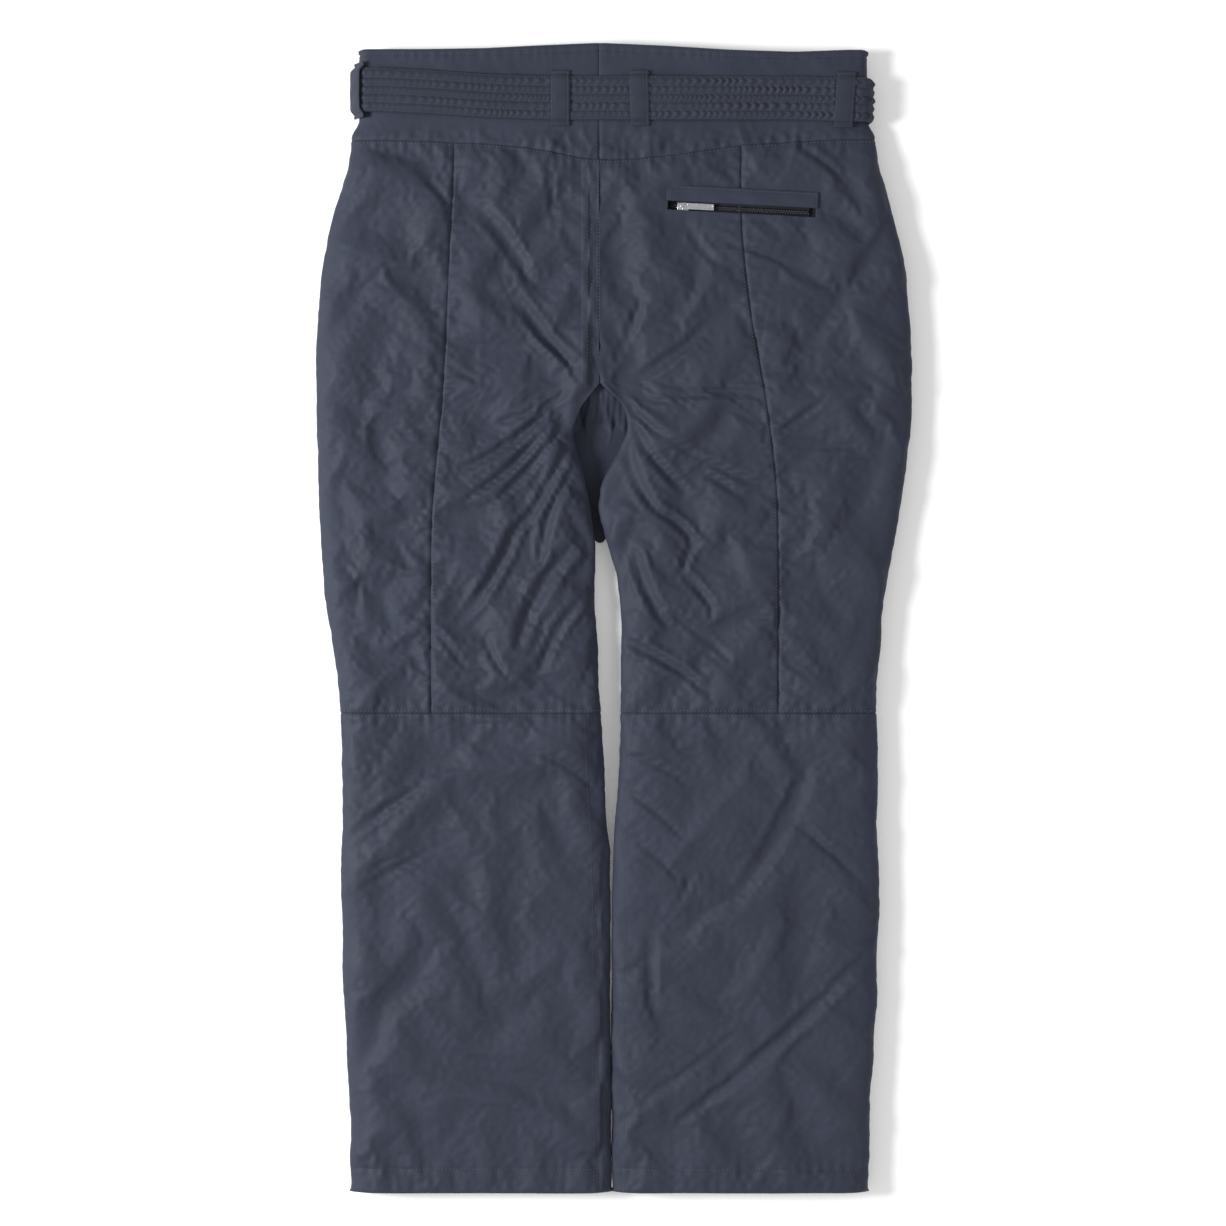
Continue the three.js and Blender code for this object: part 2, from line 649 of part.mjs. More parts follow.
const TONGUE_X = CENTRE_X + 8; // the mouth of the socket
const SOCKET_X = TONGUE_X - BUCKLE.length;

// The belt runs round the back and sides in one piece, and its two front pieces meet in the clasp.
function belt() {
  const left = sidePath(0, -1, BELT_AWAY, BACK, BELT_EDGE, BELT_STOP).reverse();
  const right = sidePath(0, 1, BELT_AWAY, BACK, BELT_EDGE, BELT_STOP).slice(1);
  piece("belt_back", ribbon([...left, ...right], beltLow, beltHigh, BELT), MATERIAL.belt);
  const straight = (x0, x1) => {
    const path = spread(x0, x1, 5).map((x) => [x, BELT_FRONT_Z]);
    return ribbon(path, beltLow, beltHigh, BELT);
  };
  piece("belt_front_left", straight(-BELT_TURN - 3, SOCKET_X - SEWN_GAP), MATERIAL.belt);
  const slack = BUCKLE_TRAVEL - 2;
  piece("belt_front_right", straight(TONGUE_X + BUCKLE.plate, BELT_TURN - slack), MATERIAL.belt);
}

// The clasp: a socket with a mouth towards +X, a tongue that slides out of it,
// and a button that frees the tongue.
function buckle() {
  const { width, wall, proud, window: opening, windowAt } = BUCKLE;
  const { buttonProud, tongueLength, tongueGap, plate } = BUCKLE;
  const middle = beltMiddle(0);
  const low = middle - width / 2;
  const high = middle + width / 2;
  const outer = BELT_FRONT_Z - BELT / 2 - proud;
  const inner = BELT_FRONT_Z + BELT / 2;
  const ceiling = inner - wall / 2;
  const windowX = SOCKET_X + windowAt;
  const square = (grow, z0, z1) => {
    const x0 = windowX - grow;
    const half = opening / 2 + grow;
    return block(x0, x0 + 2 * half, middle - half, middle + half, z0, z1);
  };
  const body = block(SOCKET_X, TONGUE_X, low, high, outer, inner);
  const inside = block(TONGUE_X - tongueLength - 3, TONGUE_X + 1, low + 4, high - 4, outer + wall, ceiling);
  piece("buckle_socket", cut(body, inside, square(0, outer - 1, outer + wall + 0.1)), MATERIAL.plastic);
  piece("buckle_button", square(-0.6, outer - buttonProud, outer + wall - 0.1), MATERIAL.metal);
  const bladeZ = [outer + wall + tongueGap, ceiling - tongueGap];
  const blade = block(TONGUE_X - tongueLength, TONGUE_X + 3, low + 9, high - 9, ...bladeZ);
  const grip = block(TONGUE_X + 0.8, TONGUE_X + plate - SEWN_GAP, low + 2, high - 2, outer + 0.3, inner);
  piece("buckle_tongue", join(cut(blade, square(1, outer, inner)), grip), MATERIAL.plastic);
}

// A belt loop is a strip stitched down at both ends that bridges the belt. It is `turn` degrees round a side.
function loopStrip(x, face, turn = 0) {
  const { width, overhang, thick, stitched, rise } = LOOP;
  const out = face * LOOP_AWAY;
  const resting = (away) => face * (away + SEWN_GAP + thick / 2);
  const above = resting(WAIST_HALF_HEIGHT);
  const below = resting(halfHeight(WAIST_SEAM_Y - overhang));
  const reachOut = BELT_WIDTH / 2 + overhang;
  const inner = reachOut - stitched - rise;
  const profile = [
    [-reachOut, turn ? above : below],
    [stitched - reachOut, turn ? above : below],
    [-inner, out],
    [inner, out],
    [reachOut - stitched, above],
    [reachOut, above],
  ];
  const loops = profile.map(([y, z], i) => {
    const [ny, nz] = sideways(profile, i, thick / 2);
    const corner = (side, across) => {
      const at = (across * width) / 2;
      return new THREE.Vector3(at, beltMiddle(x + at) + y + side * ny, z + side * nz);
    };
    return [corner(1, -1), corner(1, 1), corner(-1, 1), corner(-1, -1)];
  });
  return loft(loops).rotateY(-degrees(turn)).translate(x, 0, MIDDLE_Z);
}

function beltLoops() {
  const [left, right] = BACK_LOOPS_X;
  const places = {
    loop_back_left: [left, BACK],
    loop_back_right: [right, BACK],
    loop_side_left: [-BELT_TURN, BACK, SIDE_LOOP_TURN],
    loop_side_right: [SIDE_LOOP_X, BACK],
    loop_front_left: [CENTRE_X - FRONT_LOOP_X, FRONT],
    loop_front_right: [CENTRE_X + FRONT_LOOP_X, FRONT],
  };
  for (const [name, place] of Object.entries(places)) piece(name, loopStrip(...place), MATERIAL.belt);
}

// ---- Zips and pockets -----------------------------------------------------------------------------

// A group whose +X runs along `direction` in plan and whose +Z points out of the garment's `face`.
function flatFrame(x, y, z, direction, face) {
  const alongX = new THREE.Vector3(Math.cos(direction), Math.sin(direction), 0);
  const out = new THREE.Vector3(0, 0, face);
  const sidewaysY = new THREE.Vector3().crossVectors(out, alongX);
  const group = new THREE.Group();
  group.applyMatrix4(new THREE.Matrix4().makeBasis(alongX, sidewaysY, out).setPosition(x, y, z));
  group.updateMatrixWorld(true);
  return group;
}

// Extrudes an outline drawn in (y, z) along X.
function profileAlong(outline, x0, x1) {
  const shape = new THREE.Shape(outline.map(([y, z]) => new THREE.Vector2(y, z)));
  const geometry = new THREE.ExtrudeGeometry(shape, { depth: x1 - x0, bevelEnabled: false });
  const [x, y, z] = [0, 1, 2].map((i) => new THREE.Vector3().setComponent(i, 1));
  return geometry.applyMatrix4(new THREE.Matrix4().makeBasis(y, z, x)).translate(x0, 0, 0);
}

const COIL_TOP = ZIP.coilThick / 2;
const TAPE_TOP = -ZIP.coilThick / 2;
const TAPE_LOW = TAPE_TOP - ZIP.tapeThick;

// The tape and its coil.
function chain(length) {
  const tape = ZIP.tape / 2;
  const coil = ZIP.coil / 2;
  const tapeSide = [[-tape, TAPE_LOW], [tape, TAPE_LOW], [tape, TAPE_TOP]];
  const coilSide = [[coil, TAPE_TOP], [coil, COIL_TOP], [-coil, COIL_TOP], [-coil, TAPE_TOP]];
  return profileAlong([...tapeSide, ...coilSide, [-tape, TAPE_TOP]], 0, length);
}

const SLIDER_TOP = COIL_TOP + SLIDER.clearance + SLIDER.plate;

// The slider is a channel over the coil with an arch for the pull on its back.
function slider() {
  const { length, width, clearance } = SLIDER;
  const side = width / 2;
  const inner = ZIP.coil / 2 + clearance;
  const under = COIL_TOP + clearance;
  const foot = TAPE_TOP + clearance;
  const outside = [[side, foot], [side, SLIDER_TOP], [-side, SLIDER_TOP], [-side, foot]];
  const channel = [[-inner, foot], [-inner, under], [inner, under], [inner, foot]];
  const body = profileAlong([...outside, ...channel], -length / 2, length / 2);
  const [end, edge, top] = [ARCH.length / 2, ARCH.width / 2, SLIDER_TOP + ARCH.rise];
  const arch = block(-end, end, -edge, edge, SLIDER_TOP - 0.2, top);
  const eye = block(ARCH.wall - end, end - ARCH.wall, -ARCH.width, ARCH.width, SLIDER_TOP, top - ARCH.wall);
  return join(body, cut(arch, eye));
}

const PULL_AXIS_Z = SLIDER_TOP + (ARCH.rise - ARCH.wall) / 2;

// The pull lies along +X from its bar, which turns inside the slider's arch.
function pullTab() {
  const { length, width, thick, window: opening, arm, bar } = PULL;
  const side = width / 2;
  const plate = block(-bar / 2, length, -side, side, -thick / 2, thick / 2);
  const hole = block(bar / 2, bar / 2 + opening, arm - side, side - arm, -thick, thick);
  const dish = block(length * 0.4, length - arm, arm - side, side - arm, thick / 4, thick);
  return cut(plate, hole, dish).translate(0, 0, PULL_AXIS_Z);
}

function addZip(name, length, frame, sliderAt) {
  garment.add(frame);
  piece(`${name}_zip`, chain(length), MATERIAL.tape, frame);
  piece(`${name}_slider`, slider().translate(sliderAt, 0, 0), MATERIAL.metal, frame);
  piece(`${name}_pull`, pullTab().translate(sliderAt, 0, 0), MATERIAL.metal, frame);
}

// The flat bag of a pocket, just inside its zip's tape.
const BAG_TOP = TAPE_LOW - SEWN_GAP;
const pocketBag = (x0, x1, y0, y1) => block(x0, x1, y0, y1, BAG_TOP - POCKET_CLOTH, BAG_TOP);

function backPocketFrame() {
  const { x, y, tilt } = BACK_POCKET;
  return flatFrame(x, y, LYING_HEIGHT - ZIP_DEPTH, degrees(tilt), BACK);
}

function backPocketSlot() {
  const { length, slotBelow, slotAbove } = BACK_POCKET;
  const opening = block(0, length, -slotBelow, slotAbove, -SHELL, 2 * SHELL);
  return opening.applyMatrix4(backPocketFrame().matrixWorld);
}

// The back pocket's zip runs under the lower edge of a welt.
function backPocket() {
  const { length, slotAbove, welt, bagDepth, sliderAt } = BACK_POCKET;
  const frame = backPocketFrame();
  addZip("back_pocket", length - 4, frame, sliderAt);
  const ease = 2 * SEWN_GAP;
  const weltLow = slotAbove - welt;
  const weltSolid = block(ease, length - ease, weltLow, slotAbove - ease, ZIP_DEPTH - WELT, ZIP_DEPTH);
  piece("back_pocket_welt", weltSolid, MATERIAL.shell, frame);
  const bag = pocketBag(2, length - 4, slotAbove - bagDepth, slotAbove - 2);
  piece("back_pocket_bag", bag, MATERIAL.pocket, frame);
}

// The hand pockets lean outwards as they go down. The frame's +X runs down the slot from its upper end.
function handPocketFrame(side) {
  const { x, y, length, lean } = HAND_POCKET;
  const down = side > 0 ? -degrees(lean) : degrees(lean) - Math.PI;
  const startX = side * x - (Math.cos(down) * length) / 2;
  const startY = y - (Math.sin(down) * length) / 2;
  return flatFrame(startX, startY, ZIP_DEPTH, down, FRONT);
}

function handPocketSlot(side) {
  const { length, slot } = HAND_POCKET;
  const opening = block(0, length, -slot / 2, slot / 2, -SHELL, 2 * SHELL);
  return opening.applyMatrix4(handPocketFrame(side).matrixWorld);
}

function handPockets() {
  for (const [name, side] of [["left", -1], ["right", 1]]) {
    const { from, to, width, above } = HAND_BAG;
    const frame = handPocketFrame(side);
    addZip(`hand_pocket_${name}`, HAND_POCKET.length - 4, frame, HAND_POCKET.sliderAt);
    const edges = [-side * above, side * (width - above)].sort((a, b) => a - b);
    piece(`hand_pocket_${name}_bag`, pocketBag(from, to, ...edges), MATERIAL.pocket, frame);
  }
}

// The fly's zip runs down from the waist, with a guard of cloth behind it.
function fly() {
  const { top, length, width, guard, sliderAt } = FLY;
  const frame = flatFrame(CENTRE_X + width / 2, top, ZIP_DEPTH, -Math.PI / 2, FRONT);
  addZip("fly", length, frame, sliderAt);
  const side = width / 2 - SEAM_GAP;
  const near = TAPE_LOW - SEWN_GAP;
  piece("fly_guard", block(0, length + 8, -side, side, near - guard, near), MATERIAL.shell, frame);
}

backShell();
frontShell();
lowerLegs();
linings();
gaiters();
gusset();
waistband();
belt();
buckle();
beltLoops();
backPocket();
handPockets();
fly();

export default garment;
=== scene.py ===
# Insulated ski pants, lying flat on their front. Every piece of cloth is built over its CAD node: the
# outlines come from the frame, and the wrinkles are one continuous relief for the back and one for the
# front, so that neighbouring panels meet in their seams. Lengths are in millimetres until a mesh is made.

import json
import math

import bmesh
import bpy
import numpy as np
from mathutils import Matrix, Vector

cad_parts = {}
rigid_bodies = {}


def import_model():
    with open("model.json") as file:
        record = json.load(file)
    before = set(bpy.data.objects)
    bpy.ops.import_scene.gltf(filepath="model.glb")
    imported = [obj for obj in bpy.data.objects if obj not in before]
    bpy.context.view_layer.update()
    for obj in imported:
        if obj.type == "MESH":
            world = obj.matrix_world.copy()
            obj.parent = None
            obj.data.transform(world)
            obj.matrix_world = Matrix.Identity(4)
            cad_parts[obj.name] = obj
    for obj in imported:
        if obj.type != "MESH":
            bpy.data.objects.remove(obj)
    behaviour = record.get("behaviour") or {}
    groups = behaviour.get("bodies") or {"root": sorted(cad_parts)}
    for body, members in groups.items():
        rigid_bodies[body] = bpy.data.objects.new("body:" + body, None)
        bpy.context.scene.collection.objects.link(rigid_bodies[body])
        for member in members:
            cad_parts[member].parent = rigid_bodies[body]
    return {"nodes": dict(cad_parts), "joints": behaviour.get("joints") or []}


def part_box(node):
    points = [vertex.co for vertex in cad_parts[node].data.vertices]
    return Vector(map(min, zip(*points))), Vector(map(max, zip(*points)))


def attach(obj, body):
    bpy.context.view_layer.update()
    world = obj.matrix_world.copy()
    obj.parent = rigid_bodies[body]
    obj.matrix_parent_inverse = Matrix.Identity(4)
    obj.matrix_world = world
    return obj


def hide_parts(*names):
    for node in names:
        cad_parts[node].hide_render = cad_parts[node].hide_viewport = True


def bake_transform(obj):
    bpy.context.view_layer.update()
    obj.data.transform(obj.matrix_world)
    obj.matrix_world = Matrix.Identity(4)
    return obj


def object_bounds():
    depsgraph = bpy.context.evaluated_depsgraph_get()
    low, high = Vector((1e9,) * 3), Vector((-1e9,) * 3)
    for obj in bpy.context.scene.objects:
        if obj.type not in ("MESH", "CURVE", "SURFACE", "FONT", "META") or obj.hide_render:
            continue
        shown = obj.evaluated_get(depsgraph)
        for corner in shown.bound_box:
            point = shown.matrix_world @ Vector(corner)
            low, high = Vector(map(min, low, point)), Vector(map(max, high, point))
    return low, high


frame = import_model()
cad_low, cad_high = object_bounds()

# ---- Sizes that the frame gives -------------------------------------------------------------------

MM = 0.001
BACK, FRONT = 1, -1
SIDES = ("left", "right")
X_AXIS, Y_AXIS, Z_AXIS = 0, 1, 2
LOWER, HIGHER = 0, 1


def cad_box(node):
    low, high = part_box(node)
    return np.array(low) / MM, np.array(high) / MM


HEIGHT = cad_box("back_left")[1][2]
MIDDLE = HEIGHT / 2
HEM_Y = cad_box("lower_back_left")[0][1]
KNEE_Y = cad_box("back_left")[0][1]
WAIST_SEAM_Y = cad_box("waistband_back_left")[0][1]
CENTRE_X = cad_box("waistband_back_left")[1][0]
WAIST_HALF = cad_box("waistband_back_left")[1][2] - MIDDLE
CROTCH_Y = 205.0
EDGE_ROUND = 30.0  # the rounded side edges: this far in, a layer lies flat
SHELL = 4.2  # a padded shell panel's thickness
HEM_DEPTH = 21.0

# ---- Sizes of the look ----------------------------------------------------------------------------

BACK_STEP = 1.35  # the mesh of the back, which is what one sees
FRONT_STEP = 2.4
RELIEF_PITCH = 1.0
STITCH = {"length": 2.3, "pitch": 3.3, "radius": 0.34}
rng = np.random.default_rng(20)


def smooth(a, b, value):
    t = np.clip((value - a) / (b - a), 0, 1)
    return t * t * (3 - 2 * t)


def mix(a, b, t):
    return a + (b - a) * t


def straight(value):
    """An edge that stays at one value all along."""
    return lambda at: np.full_like(at, value)


def linked(name, data):
    """A new object in the scene."""
    made = bpy.data.objects.new(name, data)
    bpy.context.scene.collection.objects.link(made)
    return made


def discard(piece):
    """Deletes an object and its mesh."""
    mesh = piece.data
    bpy.data.objects.remove(piece)
    bpy.data.meshes.remove(mesh)


# ---- Outlines and seams, read from the CAD nodes --------------------------------------------------

_edges = {}
OUTLINE_STEP = 4.0


def node_edges(node):
    """The two ends of each edge of a CAD node's mesh, in millimetres."""
    if node not in _edges:
        mesh = frame["nodes"][node].data
        co = np.array([v.co for v in mesh.vertices]) / MM
        ends = np.array([e.vertices for e in mesh.edges])
        _edges[node] = co[ends[:, 0]], co[ends[:, 1]]
    return _edges[node]


def section(nodes, axis, at, across):
    """The lowest and highest place along `across` where the nodes cross the plane `axis` = `at`."""
    found = []
    for node in nodes:
        a, b = node_edges(node)
        span = b[:, axis] - a[:, axis]
        with np.errstate(divide="ignore", invalid="ignore"):
            t = (at - a[:, axis]) / span
        hit = (np.abs(span) > 1e-6) & (t >= 0) & (t <= 1)
        found.append((a[:, across] + t * (b[:, across] - a[:, across]))[hit])
    found = np.concatenate(found)
    return (found.min(), found.max()) if len(found) else (np.nan, np.nan)


def outline(nodes, axis, across, side, start, stop, ease=0.0, skip=(0, 0)):
    """A smooth curve through the nodes' edge on their LOWER or HIGHER side, from `start` to `stop`.

    `ease` is added to it, and the stretch between the two values of `skip` is bridged.
    """
    at = np.arange(start, stop + 0.1, OUTLINE_STEP)
    value = np.array([section(nodes, axis, a, across)[side] for a in at])
    good = ~np.isnan(value) & ((at < skip[0]) | (at > skip[1]))
    value = np.interp(at, at[good], value[good]) + ease
    kernel = np.exp(-(np.linspace(-2, 2, 7) ** 2))
    padded = np.concatenate([2 * value[0] - value[3:0:-1], value, 2 * value[-1] - value[-2:-5:-1]])
    value = np.convolve(padded, kernel / kernel.sum(), "valid")
    return lambda q: np.interp(q, at, value)


HALF_GAP = 0.45  # half of the CAD gap between two panels
YOKE_TOP_Y = WAIST_SEAM_Y + 24  # the visible cloth runs on under the belt
leg_nodes = {s: [f"lower_front_{s}", f"front_{s}", f"waistband_back_{s}"] for s in SIDES}
inner_nodes = {s: [f"lower_back_{s}", f"back_{s}"] for s in SIDES}
side_edge = {
    "left": outline(leg_nodes["left"], Y_AXIS, X_AXIS, LOWER, HEM_Y, YOKE_TOP_Y),
    "right": outline(leg_nodes["right"], Y_AXIS, X_AXIS, HIGHER, HEM_Y, YOKE_TOP_Y),
}
inner_edge = {
    "left": outline(inner_nodes["left"], Y_AXIS, X_AXIS, HIGHER, HEM_Y, CROTCH_Y, HALF_GAP),
    "right": outline(inner_nodes["right"], Y_AXIS, X_AXIS, LOWER, HEM_Y, CROTCH_Y, -HALF_GAP),
}
welt_low, welt_high = cad_box("back_pocket_welt")
fly_low, fly_high = cad_box("fly_zip")
POCKET_ROWS = (welt_low[1] - 16, welt_high[1] + 8)
SIDE_TOP_Y = WAIST_SEAM_Y - 25
princess = {
    "left": outline(["side_left"], Y_AXIS, X_AXIS, HIGHER, KNEE_Y, SIDE_TOP_Y, HALF_GAP),
    "right": outline(["side_right"], Y_AXIS, X_AXIS, LOWER, KNEE_Y, SIDE_TOP_Y, -HALF_GAP, POCKET_ROWS),
}
skin_nodes = ["yoke_left", "back_left", "lower_back_left", "waistband_back_left"]
skin_top = outline(skin_nodes, Y_AXIS, Z_AXIS, HIGHER, HEM_Y, YOKE_TOP_Y)
yoke_seam = outline(["yoke_left", "yoke_right"], X_AXIS, Y_AXIS, LOWER, -226, 226, -HALF_GAP)
band_nodes = ["waistband_back_left", "waistband_back_right"]
waist_top = outline(band_nodes, X_AXIS, Y_AXIS, HIGHER, -206, 206)


def belt_edge_curve(side):
    at = np.arange(-204.0, 205.0, 6.0)
    value = np.array([section(["belt_back"], X_AXIS, a, Y_AXIS)[side] for a in at])
    return lambda x: np.interp(x, at, value)


belt_low, belt_high = belt_edge_curve(LOWER), belt_edge_curve(HIGHER)


def half_height(y):
    return skin_top(y) - MIDDLE


LEG_EASE = 1.7  # the loose cloth of each lower leg reaches this far towards the other's


def middle_edge(side, y):
    """The inner edge of a half: the inseam up to the crotch, and the centre seam above it."""
    loose = (LEG_EASE if side == "left" else -LEG_EASE) * smooth(-120, -200, y)
    return np.where(y > CROTCH_Y, CENTRE_X, inner_edge[side](np.minimum(y, CROTCH_Y)) + loose)


def rounded(distance, wide):
    u = 1 - np.clip(distance / wide, 0, 1)
    return np.sqrt(np.maximum(0, 1 - u * u))


def skin_z(x, y, face, side, depth=0.0, tuck=0.0):
    """The height of the plain cloth that lies `depth` under the skin, before any wrinkle."""
    left = side == "left"
    outer = x - side_edge["left"](y) if left else side_edge["right"](y) - x
    inner = middle_edge("left", y) - x if left else x - middle_edge("right", y)
    legs = smooth(CROTCH_Y, CROTCH_Y - 60, y)
    wide = EDGE_ROUND - depth
    shape = rounded(outer - depth - tuck, wide) * mix(1, rounded(inner - depth - tuck, wide), legs)
    return MIDDLE + face * (half_height(y) - depth) * shape


# ---- Relief: wrinkles, folds, seams ---------------------------------------------------------------


class Relief:
    """Heights over the plan, in millimetres, on a regular raster."""

    def __init__(self, pitch=RELIEF_PITCH, pad=30):
        self.pitch = pitch
        self.x0, self.y0 = cad_low.x / MM - pad, cad_low.y / MM - pad
        columns = int((cad_high.x - cad_low.x) / MM / pitch) + 2 * int(pad / pitch)
        rows = int((cad_high.y - cad_low.y) / MM / pitch) + 2 * int(pad / pitch)
        self.h = np.zeros((rows, columns))
        self.x = self.x0 + pitch * np.arange(columns)
        self.y = self.y0 + pitch * np.arange(rows)
        self.X, self.Y = np.meshgrid(self.x, self.y)

    def at(self, x, y):
        u = np.clip((x - self.x0) / self.pitch, 0, self.h.shape[1] - 1.001)
        v = np.clip((y - self.y0) / self.pitch, 0, self.h.shape[0] - 1.001)
        i, j = v.astype(int), u.astype(int)
        a, b = v - i, u - j
        low = mix(self.h[i, j], self.h[i, j + 1], b)
        high = mix(self.h[i + 1, j], self.h[i + 1, j + 1], b)
        return mix(low, high, a)

    def noise(self, wavelength, stretch=1.0, angle=0.0):
        """Smooth noise of about unit size, longer along `angle` (degrees) by `stretch`."""
        fy = np.fft.fftfreq(self.h.shape[0], self.pitch)[:, None]
        fx = np.fft.rfftfreq(self.h.shape[1], self.pitch)[None, :]
        c, s = math.cos(math.radians(angle)), math.sin(math.radians(angle))
        along, over = (fx * c + fy * s) * stretch, -fx * s + fy * c
        q = (along**2 + over**2) * wavelength**2
        band = q * np.exp(-q)
        made = np.fft.irfft2(np.fft.rfft2(rng.standard_normal(self.h.shape)) * band, self.h.shape)
        return made / made.std()

    def fold(self, p, q, width, height, bend=0.0, lean=0.0):
        """A crease from p to q: a sharp line that falls off over `width`.

        If it leans, it falls off more slowly on one side than on the other.
        """
        p, q = np.array(p, float), np.array(q, float)
        length = float(np.hypot(*(q - p)))
        reach = width * (1 + abs(lean)) + abs(bend) + 2
        low, high = np.minimum(p, q) - reach, np.maximum(p, q) + reach
        j0, j1 = np.searchsorted(self.x, [low[0], high[0]])
        i0, i1 = np.searchsorted(self.y, [low[1], high[1]])
        if j1 - j0 < 2 or i1 - i0 < 2:
            return
        along = (q - p) / length
        dx, dy = self.X[i0:i1, j0:j1] - p[0], self.Y[i0:i1, j0:j1] - p[1]
        u = (dx * along[0] + dy * along[1]) / length
        v = -dx * along[1] + dy * along[0] - bend * 4 * u * (1 - u)
        inside = (u > 0) & (u < 1)
        taper = np.where(inside, np.clip(4 * u * (1 - u), 0, 1), 0) ** 0.8
        reach_here = width * np.where(v > 0, 1 + lean, 1 - lean) * (0.35 + 0.65 * taper)
        flank = np.clip(1 - np.abs(v) / np.maximum(reach_here, 0.5), 0, 1) ** 1.6
        self.h[i0:i1, j0:j1] += height * taper * flank

    def pinch(self, p, q, width, depth, bend=0.0):
        """A deep fold of loose cloth: a valley with a rolled ridge along each side."""
        p, q = np.array(p, float), np.array(q, float)
        normal = np.array([-(q - p)[1], (q - p)[0]]) / np.hypot(*(q - p))
        self.fold(p, q, width, -depth, bend, 0.25)
        self.fold(p + normal * width * 0.75, q + normal * width * 0.6, width * 0.8, depth * 0.75, bend, -0.3)
        self.fold(p - normal * width * 0.7, q - normal * width * 0.5, width * 0.7, depth * 0.45, bend, 0.3)


# Where the creases run: x, y, direction in degrees, spread in degrees, and how many.
GRAIN = [
    (-200, 330, 60, 35, 1.0),
    (-200, 150, 75, 30, 1.1),
    (-200, 0, 70, 35, 1.0),
    (-100, 330, 120, 35, 1.1),
    (-90, 240, 130, 30, 1.3),
    (-60, 290, 110, 25, 1.3),
    (-110, 140, 30, 25, 1.5),
    (-90, 60, 55, 25, 1.5),
    (-60, 0, 75, 25, 1.2),
    (-120, -50, 150, 30, 1.0),
    (0, 300, 95, 30, 1.1),
    (80, 330, 60, 35, 1.2),
    (60, 240, 50, 30, 1.4),
    (80, 140, 150, 25, 1.5),
    (60, 60, 130, 30, 1.5),
    (60, -30, 155, 25, 1.3),
    (180, 330, 60, 40, 1.2),
    (190, 170, 35, 30, 1.2),
    (190, 40, 70, 30, 1.1),
    (-200, -170, 36, 16, 1.1),
    (-120, -160, 170, 30, 0.7),
    (-190, -300, 20, 30, 0.6),
    (-110, -330, 165, 35, 0.7),
    (-50, -200, 150, 30, 0.9),
    (60, -150, 35, 25, 1.2),
    (140, -170, 55, 20, 1.3),
    (190, -230, 140, 30, 0.9),
    (120, -330, 42, 14, 1.1),
    (60, -420, 40, 25, 0.9),
    (180, -420, 45, 30, 0.8),
]


def grain_at(x, y):
    """The creases' direction, spread and number at a place, from the nearest entries of GRAIN."""
    table = np.array(GRAIN, float)
    weight = 1 / ((table[:, 0] - x) ** 2 + (table[:, 1] - y) ** 2 + 400) ** 1.5
    weight /= weight.sum()
    double = np.radians(2 * table[:, 2])
    angle = 0.5 * math.atan2((weight * np.sin(double)).sum(), (weight * np.cos(double)).sum())
    return angle, math.radians((weight * table[:, 3]).sum()), (weight * table[:, 4]).sum()


def scatter_folds(relief, count, length, width, height, along_grain=1.0, share_up=0.55):
    """Small creases at random, most of them along the grain. Each size is a (least, most) pair."""
    placed = 0
    while placed < count:
        x = rng.uniform(cad_low.x / MM, cad_high.x / MM)
        y = rng.uniform(cad_low.y / MM, cad_high.y / MM)
        angle, spread, number = grain_at(x, y)
        if rng.uniform() > number / 1.6:
            continue
        angle += rng.normal() * spread * mix(2.5, 1, along_grain)
        size = rng.uniform() ** 1.7
        reach = mix(*length, size) / 2
        step = np.array([math.cos(angle), math.sin(angle)]) * reach
        up = 1 if rng.uniform() < share_up else -1
        relief.fold(
            np.array([x, y]) - step,
            np.array([x, y]) + step,
            mix(*width, size) * rng.uniform(0.8, 1.25),
            up * mix(*height, size) * rng.uniform(0.6, 1.3),
            reach * rng.normal() * 0.16,
            rng.uniform(-0.6, 0.6),
        )
        placed += 1


